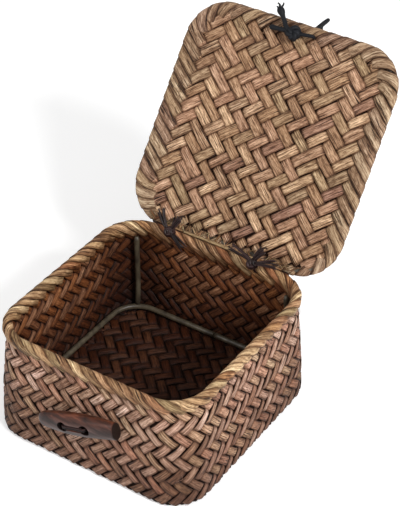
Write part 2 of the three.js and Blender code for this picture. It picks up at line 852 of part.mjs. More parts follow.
function buildBasket() {
  const basket = new THREE.Group();
  const stitchFrame = toggleFrame();
  stitchFrame.updateMatrix();
  const toWall = new THREE.Vector3(0, toggleDepth / 2, 0);
  const wallHoles = wallStitchHoles().map((hole) =>
    hole.translate(toWall.x, toWall.y, toWall.z).applyMatrix4(stitchFrame.matrix),
  );
  const shell = cut(basketShell(), [...tieCutters(), ...wallHoles]);
  basket.add(part("woven_body", shell, strawLook(0x8a6a56)));
  basket.add(part("body_rim_fold", cut(basketRim(), tieCutters()), strawLook(0xa98d62)));
  const rimWire = closedWire(bodyCore, rimCentreOffset, rimCentreHeight, rimWireDiameter);
  basket.add(part("body_rim_wire", rimWire, wireLook()));
  basket.add(part("base_wire", baseWire(), wireLook()));
  const corners = { front_left: [-1, -1], front_right: [1, -1], back_left: [-1, 1], back_right: [1, 1] };
  for (const [corner, [signX, signY]] of Object.entries(corners)) {
    basket.add(part("corner_post_" + corner, cornerPost(signX, signY), wireLook()));
  }
  const anchor = part("toggle_anchor_knot", wallStitch(), cordLook());
  anchor.geometry.translate(toWall.x, toWall.y, toWall.z);
  stitchFrame.add(anchor);
  basket.add(stitchFrame);
  return basket;
}

function buildTies() {
  const ties = new THREE.Group();
  for (const side of tieSides) {
    const hand = side < 0 ? "left" : "right";
    ties.add(part("hinge_loop_" + hand, tieLoop((side * tieSpacing) / 2, tieCordDiameter), cordLook()));
    ties.add(part("hinge_knot_" + hand, tieKnot(side), cordLook()));
  }
  return ties;
}

function buildLid() {
  const lid = lidFrame();
  const place = (geometry) => geometry.translate(lidMiddle.x, lidMiddle.y, lidMiddle.z);
  const mat = cut(cutForTies(place(lidMat())), closingHoles());
  const border = cut(cutForTies(place(lidBorder())), closingHoles());
  lid.add(part("lid_panel", mat, strawLook(0xa3835a)));
  lid.add(part("lid_border_fold", border, strawLook(0xab8c63)));
  const wire = closedWire(lidCore, lidEdgeOffset, 0, lidWireDiameter);
  lid.add(part("lid_edge_wire", place(wire), wireLook()));
  lid.add(part("closing_loop", closingLoop(), cordLook()));
  lid.add(part("closing_knot", closingKnot(), cordLook()));
  return lid;
}

function buildToggle() {
  const group = toggleFrame();
  const wood = new THREE.MeshStandardMaterial({ color: 0x4a2a20, roughness: 0.35, metalness: 0 });
  group.add(part("toggle", toggleBar(), wood));
  group.add(part("toggle_lashing", toggleStitch(), cordLook()));
  return group;
}

const box = new THREE.Group();
box.add(buildBasket(), buildTies(), buildLid(), buildToggle());

export default box;
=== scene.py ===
"""A small woven box with its tied-on lid standing open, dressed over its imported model.

Sizes are in millimetres, as the model's own are, and MM turns them into Blender's metres.
"""

import math
import random

import bpy
import numpy as np
from mathutils import Matrix, Vector


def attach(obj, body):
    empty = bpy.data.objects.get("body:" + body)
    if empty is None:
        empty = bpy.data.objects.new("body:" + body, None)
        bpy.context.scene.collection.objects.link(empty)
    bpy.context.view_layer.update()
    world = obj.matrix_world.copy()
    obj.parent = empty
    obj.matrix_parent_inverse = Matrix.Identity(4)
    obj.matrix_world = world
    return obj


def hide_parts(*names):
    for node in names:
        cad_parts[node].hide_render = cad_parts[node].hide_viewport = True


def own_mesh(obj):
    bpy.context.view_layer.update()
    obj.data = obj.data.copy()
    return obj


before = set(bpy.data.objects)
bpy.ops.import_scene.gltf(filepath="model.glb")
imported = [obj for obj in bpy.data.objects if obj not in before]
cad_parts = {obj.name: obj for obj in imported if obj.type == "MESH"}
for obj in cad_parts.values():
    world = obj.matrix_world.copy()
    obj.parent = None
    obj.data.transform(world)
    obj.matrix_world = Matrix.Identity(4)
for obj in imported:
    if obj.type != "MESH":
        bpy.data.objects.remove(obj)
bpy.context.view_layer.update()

MM = 0.001

# The camera of the photograph, which stands right of, above and behind the point that it turns about
PHOTO_HEIGHT = 506
CAMERA_AZIMUTH = 32.79
CAMERA_ELEVATION = 36.6
CAMERA_ROLL = 0.54
CAMERA_OFFSET = (23.22, 43.47, 834.96)
LOOK_HEIGHT = 42.4
FOCAL_PIXELS = 1650
SENSOR = 36

# The studio, whose lamps have a place, a size and a power
FLOOR_REACH = 6000
FLOOR_WHITE = 0.93
FLOOR_GLOW = 0.3
SURROUNDINGS = 0.55
LAMPS = {"key": ((1120, -380, 1000), 350, 18), "fill": ((-600, -1000, 900), 800, 5.2)}
LAMP_AIM = (0, 0, 80)

# The basket's plan and walls, as modelled
BODY_CORE = (37, 38)
WALL_TOP_OFFSET = 21.4
BASE_BULGE = 2.5
BASE_CORNER_RADIUS = 20
BOW_TOP = 56.7
WALL_TOP = 59.7
WALL_THICKNESS = 2.8
BASE_EDGE_RADIUS = 3
RIM_OFFSET = 20
RIM_HEIGHT = 61.4

# The basket's plait
BODY_ROWS = 61
BODY_STEP_UP = 3.69
BODY_LEVEL = 17.46
BODY_SHIFT = -1.07
BODY_STRIP_WIDTH = 4.85
BODY_STRIP_THICKNESS = 0.6
BODY_LIFT = 0.6
BODY_CROWN = 0.14
BODY_RIDGE = 0.04
BODY_SAMPLES = 6
BODY_TUCK = 3
BODY_LOWEST_INSET = 0.43
LEANING_TONE = 0.35

# Painted light and shade: on strips where they pass through a plait, and on walls at foot, top, corners
# and under the rim
WALL_PASSING_SHADE = 0.12
FLAT_PASSING_SHADE = 0.22
OUTSIDE_SHADES = (0.44, 1.26)
INSIDE_SHADES = (0.14, 1.39)
INSIDE_SHADE_POWER = 1.4
CORNER_DARK = 0.75
CORNER_REACH = 22
OUTER_CORNER_DARK = 0.62
BACK_LEFT = 2
TOP_DARK = 0.35
TOP_DARK_LEVELS = (52, 58)

# The base's plait, whose strips have samples to a step, a width, a thickness and a rise
BASE_MIDDLE = 1.98
BASE_STRIPS = (4, BODY_STRIP_WIDTH, 0.8, 0.85)
BASE_INSET = 4.6
# Painted shade that makes the base's inner side near black
BASE_SHADE = 0.17

# The lid and its plait, in the lid's own frame: closed, with the hinge line at its origin
LID_OPEN_ANGLE = 127
HINGE_Y = 60.8
HINGE_HEIGHT = 64.7
LID_MIDDLE = (1.4, -60.45, 2.6)
LID_CORE = (39.55, 38.55)
LID_PANEL_OFFSET = 19
LID_EDGE_OFFSET = 21
LID_THICKNESS = 5.2
LID_STEPS = (4.5, 3.896)
LID_SHIFTS = (-0.48, 0.03)
LID_STRIPS = (8, 5.85, 0.6, 0.6)
LID_BAND = (-7, 7)
LID_BORDER = (-11, 13)
LID_BORDER_FREE = 30
ROUGH_PLACE = (10, 10)
ROUGH_REACH = 60
WEAVE_REACH = 70
FLAT_CROWN = 0.1
FLAT_RIDGE = 0.05
RIDGE_LENGTH = 9
FLOAT_RISE = 0.22

# Folded strips; a shape has the edge's radius, a width, a sink along the legs and another at their ends
RIM_FOLD_PITCH = 7.2
RIM_FOLD_SLOPE = 1.5
RIM_FOLD_SHAPE = (2.5, 5, 1.7, 1.5)
RIM_LEGS = (4.3, 5.6)
# Painted shade on the rim folds' inner legs, growing down the leg
RIM_INSIDE_DARK = 0.5
LID_FOLD_PITCH = 8
LID_LEANS = (LID_STEPS[1] / LID_STEPS[0], LID_STEPS[0] / LID_STEPS[1])
LID_FOLD_RADIUS = 2.2
LID_FOLD_SHAPE = (LID_FOLD_RADIUS, 6, 1.2, 1.6)
LID_FOLD_LEG = 8
LID_LEG_SHARES = (0.75, 1.08, 0.12, 1.3)
FOLD_THICKNESS = 0.5
FOLD_TILT = 7.5
FOLD_CROWN = 0.04
FOLD_SAMPLES = 34
FOLD_END = 1.8
# Painted shade at the fold ends, where they tuck under
FOLD_END_DARK = 0.6

# The crease behind the rim, whose long strips have two ends, a place, a width and a tone
CREASE_STRANDS = [
    (-22, 21, 60.2, 64.5, 2.0, 0.55), (-34, -14, 60.6, 64.2, 1.2, 0.2),
    (-4, 30, 60.9, 64.6, 1.0, 0.95), (14, 38, 60.4, 64.2, 1.4, 0.3),
]
CREASE_FACE = (0, -0.5, 0.9)
CREASE_REACH = 42
CREASE_ENDS = 60
CREASE_LEAN = 1.6
CREASE_END_REACH = (1.8, 4.6)
CREASE_STRIP = 0.5
CREASE_END_STRIP = 0.3
# The band of painted shade in the crease: its place, the way it faces and its width
CREASE_PLACE = (60.9, 62.7)
CREASE_BAND_FACE = (0, 0.911, 0.413)
CREASE_BAND_WIDTH = 2.6

# Dark sheets in the gaps between strips, painted shade
SHADE_SHEET_HALF = 0.12
SHADE_SHEET_POINTS = 96
SHADE_SHEET_LEVELS = (1.2, 3, 12, 30, 48, WALL_TOP - 1)

# Wires; the ends of the corner posts have a height and a turn from the corner's middle
WIRE_DIAMETER = 3
WIRE_INSET = 4.6
BASE_WIRE_HEIGHT = 5.8
BASE_WIRE_GAP = 0.4
POST_ENDS = ((7.6, 13), (56.1, 11))
POST_BOW = 0.25

# Hinge ties; a knot has an axis, a size, its cord's diameter and a number of turns
TIE_X = 25.35
TIE_RADIUS = 6.8
TIE_CORD = 1.2
TIE_KNOT = ((1, 0.3, 0.4), 6.6, TIE_CORD, 4)
TIE_STRAND = 0.9
TIE_STRANDS = 6
TIE_SPREAD = 2.5
TIE_KNOT_ANGLE = 160
TIE_KNOT_REACH = 9.46
TIE_TAILS = {
    -1: [
        [(-3.2, 0.6, 2.6), (-6.4, 2.6, 6.4), (-8.6, 4.6, 9.8)],
        [(1.6, 0.8, 3), (2.6, 2.6, 6.2), (3.4, 4.4, 9)],
        [(3.6, -1.4, -0.8), (7.6, -2, -3.6), (11.6, -1.8, -7.2)],
    ],
    1: [
        [(-2.6, 0.4, 2.2), (-8.8, 1.4, 3.4), (-15.4, 2.2, 3.9)],
        [(1, 1, 3.2), (3, 3, 6.4), (5.2, 4.6, 9.2)],
        [(3.4, 0.2, 1.4), (9.2, 1.2, 3), (15.8, 2.2, 3.9)],
    ],
}

# The toggle, whose outline gives shares of its half length and of its half height
TOGGLE_LENGTH = 48
TOGGLE_HEIGHT = 12.5
TOGGLE_DEPTH = 9
TOGGLE_CENTRE = (1, -66.49, 35.4)
TOGGLE_TILT = 17
TOGGLE_SIDES = 56
TOGGLE_SHAPE_SHARES = [
    (-1, 0.0), (-0.985, 0.36), (-0.95, 0.53), (-0.89, 0.65), (-0.78, 0.75), (-0.6, 0.85), (-0.33, 0.95),
    (0, 1.0), (0.33, 0.965), (0.6, 0.9), (0.8, 0.84), (0.93, 0.79), (0.975, 0.765), (0.995, 0.71),
]
TOGGLE_SHARP_ANGLE = 38
TOGGLE_HOLE_X = 7
TOGGLE_HOLE = 4.6
TOGGLE_HOLE_DEPTH = 14
TOGGLE_HOLE_RIM = 1.5
COUNTERSINK = 1.3
COUNTERSINK_DEPTH = 1.8
GROOVE_RADIUS = 1.6
LASHING = 1.6
LASHING_SINK = 0.5
STANDOFF = 1.2
ANCHOR_KNOT = ((0.9, 0.1, 0.4), 4, 1.1, 2)
ANCHOR_SLACK = 0.6

# Loose fibres: how many, from where to where, how long, and tufts on the lid with their place and number
WALL_FIBRES = 90
WALL_FIBRE_ENDS = ((0, 440), (4, 57))
LID_FIBRES = 60
LID_FIBRE_ENDS = ((-48, 50), (-112, -10))
FIBRE = 0.2
FIBRE_LENGTHS = (2.5, 6.5)
FIBRE_ROOT = 0.15
LID_FIBRE_LEVEL = 0.9
FIBRE_TUFTS = [(11.7, -113.5, 8), (-10, -43, 5), (-4, -38, 5), (14, -24, 5), (30, -14, 4), (-20, -12, 4)]
TUFT_REACH = 1.5

# The closing cord, from the middle of its two holes in the lid
CLOSING_CORD = 1.9
CLOSING_TIE_CORD = 1.3 * CLOSING_CORD
CLOSING_MIDDLE = (6.7, -117.2)
CLOSING_HOLE_X = 4
CLOSING_KNOT_OFFSET = (-6.2, 1.4, -3)
CLOSING_KNOTS = [((0, 0, 0), 6.6, 0.5, 0.5), ((0.3, 0.2, 0.2), 5.2, 1.5, 0.9)]
CLOSING_ROUTE = [
    (4, 0, 0.3), (3.9, -0.3, 1.4), (3, -1.8, 2.3), (1, -5.2, 2.4), (2.5, -8.7, 3.2), (3.4, -11.1, 5.1),
    (2.7, -11.9, 8.1), (0.8, -10.6, 10.4), (-1.1, -8.1, 11), (-2.6, -4.4, 11.4), (-4.2, 1.5, 12.4),
    (-5.2, 8, 12.8), (-5.2, 15, 12.6), (-3.6, 20.6, 12.3), (-0.4, 23.4, 12.2), (2.8, 21.6, 12.2),
    (4.8, 16.5, 12.2), (5.2, 9.5, 11.8), (4.6, 3, 10.6), (2.6, -2.4, 9), (0.6, -6.2, 8.3),
    (0.1, -8.3, 8.5), (0.8, -9.4, 8.3), (1.5, -9.9, 7.4), (1.8, -9.4, 6.2), (1.3, -8.1, 5.3),
    (-1, -4.8, 4.5), (-3.2, -2.2, 3.7), (-4, -0.6, 2), (-4, 0, 0.3),
]
CLOSING_TAILS = [
    [(-10.8, -0.4, -3), (-13.7, -3.7, -2.6), (-18.4, -9, -2.4)],
    [(-10.6, 1.2, -2.9), (-14.9, 1.4, -2.5), (-20, 1.6, -2)],
]
CLOSING_SWELLINGS = (0.7, 0.15)
CLOSING_PRONG = 1.2
CLOSING_PRONGS = [
    [(-17.8, -8.2, -2.4), (-18.8, -9.6, -2.2), (-19.6, -10.8, -2), (-20.8, -11.2, -2)],
    [(-17.8, -8.2, -2.4), (-17.6, -9.8, -2.4), (-17.2, -11, -2.4), (-17.4, -12.2, -2.2)],
    [(-17.8, -8.2, -2.4), (-19.4, -8.8, -2.2), (-20.6, -9.4, -2)],
]
FRAY_HAIRS = 12
FRAY_HAIR = 0.3
FRAY_LENGTH = 1.6

# Tones of the straw and the wood, as in a picture
BODY_OUTSIDE = ["8b6751", "af8a75", "c09986", "9c775d", "cba995", "986c55", "b49576", "bb886f", "a67f68"]
# The basket's inside: its own more orange straw, darkened as painted shade
BODY_INSIDE = ["66381f", "844e2b", "724325", "915a34", "70442b", "8f6245", "9e7153", "865a3f"]
RIM_STRAW = ["7e5a3e", "b38d65", "946a4b", "8d7451", "c9a67d", "8f5b3b", "a87e54"]
LID_INSIDE = ["85624b", "a17d5d", "b08b6d", "977b5b", "c09c7a", "8a6451", "a98367", "ae8569", "957a5d"]
LID_OUTSIDE = ["6a4c3a", "8a6b50", "9c7a60", "7e6046", "a8866a", "744f3c"]
LID_EDGE = ["85644e", "a08364", "b3987a", "93775d", "c5a98a", "886753", "a5886a"]
# The toggle's wood: a greyish painted sheen for its lower front, and its red with painted light for its
# top
SHEEN_WOOD = ["1a0f0d", "33211d", "46302b", "604741"]
LIT_RED_WOOD = ["1d0d08", "3d2016", "532b1c", "754330"]
WOOD_STOPS = (0.34, 0.46, 0.54, 0.66)

# How straw darkens, by grain and painted shade: the gain that makes up for its grain, and the powers that
# keep dark straw warm
GRAIN_GAIN = 1.6
STRAW_GAIN = 1.9312
# The warmth of dark straw is painted light, as if bounced between strips
WARM_POWERS = (0.87, 1.07, 1.22)
# The distance in the noise from one strip to the next, so that neighbours aren't alike
STRIP_SPREAD = 3.71


def unit(vectors):
    return vectors / np.linalg.norm(vectors, axis=-1, keepdims=True)


def moved(points, matrix=Matrix()):
    """Points of a part's own frame, in the frame of the whole."""
    return np.asarray(points, float) @ np.array(matrix.to_3x3()).T + np.array(matrix.translation)


def eased(values):
    """Values held between 0 and 1, with a soft start and end."""
    part = np.clip(values, 0, 1)
    return part * part * (3 - 2 * part)


def raised(flat, height):
    """Points of a plan at their height."""
    return np.column_stack([flat, np.broadcast_to(height, len(flat))])


def travelled(path):
    return np.concatenate([[0], np.cumsum(np.linalg.norm(np.diff(path, axis=0), axis=1))])


def linear(hex_colour):
    """A colour written as in a picture, as Blender's linear values."""
    parts = [int(hex_colour[i : i + 2], 16) / 255 for i in (0, 2, 4)]
    return [x / 12.92 if x <= 0.04045 else ((x + 0.055) / 1.055) ** 2.4 for x in parts] + [1]


def wave(at, seed):
    """A smooth random wave round 0 along the values at, alike for one seed."""
    chance = random.Random(seed)
    total = np.zeros_like(at)
    for octave in range(3):
        total += np.sin(at * chance.uniform(0.6, 1.3) * 2**octave + chance.uniform(0, 6.28)) / 2**octave
    return total / 1.75


# Strips and cords

def strip_section(half):
    """A closed section from the points of its upper half."""
    return half + [(-x, -y) for x, y in half]


FLAT_SECTION = strip_section([(1, 0), (0.9, 0.4), (0.45, 0.5), (0, 0.5), (-0.45, 0.5), (-0.9, 0.4)])
THIN_SECTION = strip_section([(1, 0), (0.85, 0.42), (0, 0.5), (-0.85, 0.42)])


def placed(name, data):
    made = bpy.data.objects.new(name, data)
    bpy.context.scene.collection.objects.link(made)
    return made


def skin(name, points, grids, smooth):
    """A mesh of closed tubes, each given as a grid of point numbers, ring by ring."""
    loops, totals = [], []
    for grid in grids:
        beside = np.roll(grid, -1, axis=1)
        quads = np.stack([grid[:-1], beside[:-1], beside[1:], grid[1:]], axis=-1)
        loops += [quads.ravel(), grid[0][::-1], grid[-1]]
        totals += [4] * (quads.size // 4) + [grid.shape[1]] * 2
    loops = np.concatenate(loops).astype(np.int32)
    mesh = bpy.data.meshes.new(name)
    mesh.vertices.add(len(points))
    mesh.vertices.foreach_set("co", (points * MM).astype(np.float32).ravel())
    mesh.loops.add(len(loops))
    mesh.loops.foreach_set("vertex_index", loops)
    mesh.polygons.add(len(totals))
    mesh.polygons.foreach_set("loop_start", np.cumsum([0] + totals[:-1]).astype(np.int32))
    mesh.polygons.foreach_set("use_smooth", np.full(len(totals), smooth))
    mesh.update(calc_edges=True)
    return placed(name, mesh)


class Bundle:
    """Strips or cords in one mesh. Each point keeps its place along and across its strip and the strip's
    number, and its tone, shade and side."""

    def __init__(self, section):
        self.section = np.array(section, float)
        self.points, self.weave, self.look, self.grids = [], [], [], []
        self.count = 0

    def add(self, centre, normal, width, thickness, tone=0.5, shade=1.0, crown=0.0, ridge=0.0, twist=0.0):
        """One strip along centre, whose flat side faces a normal, or one at each point."""
        columns = (np.broadcast_to(value, len(centre))[:, None] for value in (width, thickness, twist))
        wide, deep, turn = columns
        along = unit(np.gradient(centre, axis=0))
        side = unit(np.cross(normal, along))
        face = np.cross(along, side)
        across = side * np.cos(turn) + face * np.sin(turn)
        out = face * np.cos(turn) - side * np.sin(turn)
        x, y = self.section.T
        travel = travelled(centre)
        rise = y * deep + np.sign(y) * crown * (1 - x**2)
        if ridge:
            for i in range(len(x)):
                seed = len(self.grids) * 31 + i
                rise[:, i] += ridge * wave(travel / RIDGE_LENGTH, seed) * np.sign(y[i])
        sideways = across[:, None] * (x * wide / 2)[..., None]
        self.add_grid(centre[:, None] + sideways + out[:, None] * rise[..., None], travel, tone, shade)

    def add_grid(self, points, travel, tone, shade):
        """One strip whose points are given ring by ring, as the section runs."""
        x, y = self.section.T
        shape = points.shape[:2]
        shade = np.asarray(shade, float)
        shade = shade[:, None] if shade.ndim == 1 else shade
        weave = (travel[:, None], x, len(self.grids))
        look = (tone, shade, np.clip(y * 2.5, -1, 1))
        for kept, values in ((self.weave, weave), (self.look, look)):
            columns = [np.broadcast_to(value, shape).ravel() for value in values]
            kept.append(np.stack(columns, axis=-1))
        self.points.append(points.reshape(-1, 3))
        self.grids.append(self.count + np.arange(shape[0] * shape[1]).reshape(shape))
        self.count += shape[0] * shape[1]

    def build(self, name, matrix=Matrix()):
        piece = skin(name, moved(np.concatenate(self.points), matrix), self.grids, smooth=True)
        for label, values in (("weave", self.weave), ("look", self.look)):
            attribute = piece.data.attributes.new(label, "FLOAT_VECTOR", "POINT")
            attribute.data.foreach_set("vector", np.concatenate(values).astype(np.float32).ravel())
        return piece


# Weights of four neighbouring points for each power of the way from the second to the third
SMOOTH_CUBIC = np.array([(0, 2, 0, 0), (-1, 0, 1, 0), (2, -5, 4, -1), (-1, 3, -3, 1)]) / 2


def cords(sides):
    """A bundle for cords of a round section."""
    turns = 2 * math.pi * np.arange(sides) / sides
    return Bundle(np.column_stack([np.cos(turns), np.sin(turns) / 2]))


def smooth_path(points, steps):
    """Points close together on a smooth curve through the given ones."""
    given = np.array(points, float)
    padded = np.concatenate([2 * given[:1] - given[1:2], given, 2 * given[-1:] - given[-2:-1]])
    powers = np.linspace(0, 1, steps, endpoint=False)[:, None] ** np.arange(4)
    parts = [powers @ SMOOTH_CUBIC @ padded[i : i + 4] for i in range(len(given) - 1)]
    return np.concatenate(parts + [given[-1:]])


def carried_normals(centre):
    """Directions square to a path that turn with it as little as they can."""
    along = unit(np.gradient(centre, axis=0))
    normals = [unit(np.cross(along[0], [0.31, 0.52, 0.79]))]
    for tangent in along[1:]:
        normals.append(unit(normals[-1] - tangent * (normals[-1] @ tangent)))
    return np.array(normals)


def add_cord(bundle, centre, diameter, taper=1.0, **kept):
    width = diameter * np.asarray(taper)
    bundle.add(centre, carried_normals(centre), width, width, **kept)


def single_cord(name, path, diameter, sides, taper=1.0):
    bundle = cords(sides)
    add_cord(bundle, path, diameter, taper)
    return bundle.build(name)


def add_hair(bundle, start, points, diameter, end_share, chance):
    """A fibre through points given from its start."""
    path = start + smooth_path(points, 4)
    add_cord(bundle, path, diameter, np.linspace(1, end_share, len(path)), tone=chance.random())


# Rounded plans

def plan_breaks(core, radius):
    """Distances round a rounded rectangle at which its straights and corners begin, from mid front."""
    arc = radius * math.pi / 2
    return np.cumsum([0, core[0], arc, 2 * core[1], arc, 2 * core[0], arc, 2 * core[1], arc, core[0]])


FOOT_SHARES = [(0, 1, 1, 1, 1, -1, -1, -1, -1, 0), (-1, -1, -1, 1, 1, 1, 1, -1, -1, -1)]
HEADINGS = np.radians([-90, -90, 0, 0, 90, 90, 180, 180, 270, 270])


def plan_at(distance, core, radius):
    """The foot on the core, as shares of it, and the outward heading, at distances counter-clockwise."""
    breaks = plan_breaks(core, radius)
    at = np.mod(distance, breaks[-1])
    heading = np.interp(at, breaks, HEADINGS)
    feet = np.stack([np.interp(at, breaks, shares) for shares in FOOT_SHARES], axis=-1)
    return feet, np.stack([np.cos(heading), np.sin(heading)], axis=-1)


def plan_points(distance, core, radius):
    feet, heading = plan_at(distance, core, radius)
    return feet * np.array(core) + heading * radius


def wall_plan(height):
    """The basket's core and corner radius at heights, as in the model."""
    drop = np.clip((BOW_TOP - height) / BOW_TOP, 0, 1)
    reach = WALL_TOP_OFFSET + BASE_BULGE * np.sin(drop * math.pi / 2)
    radius = WALL_TOP_OFFSET + (BASE_CORNER_RADIUS - WALL_TOP_OFFSET) * drop
    return np.stack([side + reach - radius for side in BODY_CORE], axis=-1), radius


MID_CORE, MID_RADIUS = wall_plan(BOW_TOP / 2)
MID_BREAKS = plan_breaks(MID_CORE, MID_RADIUS)
BODY_STEP_ACROSS = MID_BREAKS[-1] / (2 * BODY_ROWS)


def on_wall(across, level, depth):
    """Points and outward normals at a distance round the basket, at a level that goes on round the base's
    edge and under it, and at a depth below the outer face."""
    across, level, depth = np.broadcast_arrays(np.atleast_1d(across), level, depth)
    past = np.maximum(0, BASE_EDGE_RADIUS - level)
    turn = np.minimum(past / BASE_EDGE_RADIUS, math.pi / 2)
    under = np.maximum(0, past - BASE_EDGE_RADIUS * math.pi / 2)
    height = np.where(level > BASE_EDGE_RADIUS, level, BASE_EDGE_RADIUS * (1 - np.sin(turn)))
    inset = BASE_EDGE_RADIUS * (1 - np.cos(turn)) + under
    core, radius = wall_plan(height)
    feet, heading = plan_at(across, MID_CORE, MID_RADIUS)
    normal = raised(heading * np.cos(turn)[:, None], -np.sin(turn))
    flat = feet * core + heading * (radius - inset)[:, None]
    return raised(flat, height) - normal * depth[:, None], normal


# The plait: strips of two families cross on a lattice of rows and columns of unit steps

def rising_on_top(row, column):
    """In the basket's walls whole rows of the rising strips lie outside, two crossings high."""
    return np.mod(row, 4) < 2


def rising_on_lid(row, column):
    """The lid has rows in its middle, columns beside them, and strips that fold over its free border."""
    middle = np.mod(row, 4) >= 2
    left = (np.mod(column, 4) >= 2) & (column > LID_BORDER[0])
    right = (np.mod(column + 1, 4) < 2) & (column < LID_BORDER[1])
    within = np.where(column <= LID_BAND[0], left, np.where(column >= LID_BAND[1], right, middle))
    return within | (row >= LID_BORDER_FREE)


def column_of(levels, strip, rising):
    return levels - 2 * strip if rising else 2 * strip - levels


def lifts(levels, strip, rising, pattern):
    """How far a strip stands on the seen side, from -1 to 1, and how plainly it lies there."""
    low = np.floor(levels)
    tops = (pattern(row, column_of(row, strip, rising)) == rising for row in (low, low + 1))
    first, second = (np.where(top, 1.0, -1.0) for top in tops)
    lift = first + (second - first) * eased(2 * (levels - low) - 0.5)
    float_rise = np.where(first == second, FLOAT_RISE * np.sin(math.pi * (levels - low)), 0)
    return lift * (1 + float_rise), np.abs(lift)


def strip_tone(strip, rising):
    return random.Random(strip + 900 * rising + 77).random()


def strip_shade(section, plain, passing, outer, inner):
    """Painted shade on a strip's outer and inner side, darker where it passes from one to the other."""
    sides = np.where(section[:, 1] >= 0, np.reshape(outer, (-1, 1)), np.reshape(inner, (-1, 1)))
    return sides * np.interp(plain, (0, 1), (passing, 1))[:, None]


def near_corner(across, corner):
    """How near a corner is, counted from the front right one."""
    middle = (MID_BREAKS[1 + 2 * corner] + MID_BREAKS[2 + 2 * corner]) / 2
    return np.exp(-(((np.mod(across, MID_BREAKS[-1]) - middle) / CORNER_REACH) ** 2))


def weave_walls():
    bundle = Bundle(THIN_SECTION)
    lowest = BASE_EDGE_RADIUS * (1 - math.pi / 2) - BODY_TUCK
    level = np.linspace(lowest, WALL_TOP, int((WALL_TOP - lowest) / BODY_STEP_UP * BODY_SAMPLES))
    levels = (level - BODY_LEVEL) / BODY_STEP_UP
    tuck = np.clip((lowest + BODY_TUCK - level) / BODY_TUCK, 0, 1)
    below = np.clip(1 - level / BASE_EDGE_RADIUS, 0, 1)
    high = np.clip(level / WALL_TOP, 0, 1)
    # Painted light and shade: walls lighter up high and darker at their foot, far darker low down inside,
    # and darker under the rim
    bright_outside = np.interp(high, (0, 1), OUTSIDE_SHADES)
    bright_outside *= 1 - TOP_DARK * np.interp(level, TOP_DARK_LEVELS, (0, 1))
    bright_inside = np.interp(high**INSIDE_SHADE_POWER, (0, 1), INSIDE_SHADES)
    for rising in (True, False):
        for strip in range(BODY_ROWS):
            seed = strip + 1000 * rising
            chance = random.Random(seed)
            lift, plain = lifts(levels, strip, rising, rising_on_top)
            column = column_of(levels, strip, rising) + 0.07 * wave(levels * 0.8, seed)
            across = BODY_STEP_ACROSS * column + BODY_SHIFT
            depth = WALL_THICKNESS / 2 - BODY_LIFT * lift * (1 - tuck) + tuck + BODY_LOWEST_INSET * below
            centre, normal = on_wall(across, level, depth)
            wide = 1 + chance.uniform(-0.07, 0.05) + 0.05 * wave(levels * 1.4, seed + 7)
            # Painted shade: darker low down in the outer corners, and in the inner back left corner
            corners = sum(near_corner(across, corner) for corner in range(4))
            outside = bright_outside * (1 - OUTER_CORNER_DARK * (1 - high) * corners)
            inside = bright_inside * (1 - CORNER_DARK * near_corner(across, BACK_LEFT))
            shade = strip_shade(bundle.section, plain, WALL_PASSING_SHADE, outside, inside)
            roll = 0.1 * wave(levels * 0.9, seed + 3) + chance.uniform(-0.05, 0.05)
            tone = (1 - LEANING_TONE) * chance.random() + LEANING_TONE * (not rising)
            width = BODY_STRIP_WIDTH * wide
            bundle.add(
                centre, normal, width, BODY_STRIP_THICKNESS, tone, shade, BODY_CROWN, BODY_RIDGE, roll
            )
    return bundle.build("body_weave")


def inside_round(points, core, radius):
    over = np.abs(points) - np.array(core)
    outer = np.hypot(*np.maximum(over, 0).T)
    return outer + np.minimum(over.max(axis=1), 0) < radius


def flat_weave(bundle, spot, steps, shifts, pattern, keep, strips, seen=1.0, rough_place=(0, 0)):
    """Fills a bundle with a flat plait. spot turns places and depths into points and a normal, and keep
    says which places lie inside the outline."""
    reach = int(WEAVE_REACH / min(steps))
    samples, width, thickness, rise = strips
    for rising in (True, False):
        for strip in range(-2 * reach, 2 * reach + 1):
            seed = strip + 500 + 1000 * rising
            chance = random.Random(seed)
            levels = np.arange(-2 * reach, 3 * reach, 1 / samples)
            column = column_of(levels, strip, rising) + 0.06 * wave(levels * 0.8, seed)
            places = (np.column_stack([column, levels]) + shifts) * steps
            kept = np.nonzero(keep(places))[0]
            if len(kept) < 2 * samples:
                continue
            levels, places = (values[kept[0] : kept[-1] + 1] for values in (levels, places))
            lift, plain = lifts(levels, strip, rising, pattern)
            centre, normal = spot(places, -rise * lift)
            rough = np.clip(1 - np.hypot(*(places - rough_place).T) / ROUGH_REACH, 0, 1)
            wide = 1 + chance.uniform(-0.08, 0.05) + 0.05 * wave(levels * 1.3, seed + 7) - 0.1 * rough
            shade = strip_shade(bundle.section, plain, FLAT_PASSING_SHADE, seen, 1)
            roll = 0.09 * wave(levels * 0.9, seed + 3) * (1 + rough) + chance.uniform(-0.05, 0.05)
            tone = strip_tone(strip, rising)
            bundle.add(centre, normal, width * wide, thickness, tone, shade, FLAT_CROWN, FLAT_RIDGE, roll)


def weave_base():
    core, radius = wall_plan(0)

    def spot(places, depth):
        return raised(places, BASE_MIDDLE - depth), (0, 0, 1)

    bundle = Bundle(THIN_SECTION)
    flat_weave(
        bundle, spot, (BODY_STEP_ACROSS, BODY_STEP_UP), (0, 0), rising_on_top,
        lambda places: inside_round(places, core, radius - BASE_INSET), BASE_STRIPS, BASE_SHADE,
    )
    return bundle.build("base_weave")


LID_MATRIX = Matrix.Translation((0, HINGE_Y, HINGE_HEIGHT)) @ Matrix.Rotation(
    -math.radians(LID_OPEN_ANGLE), 4, "X"
)
LID_MIDDLE_MATRIX = LID_MATRIX @ Matrix.Translation(LID_MIDDLE)


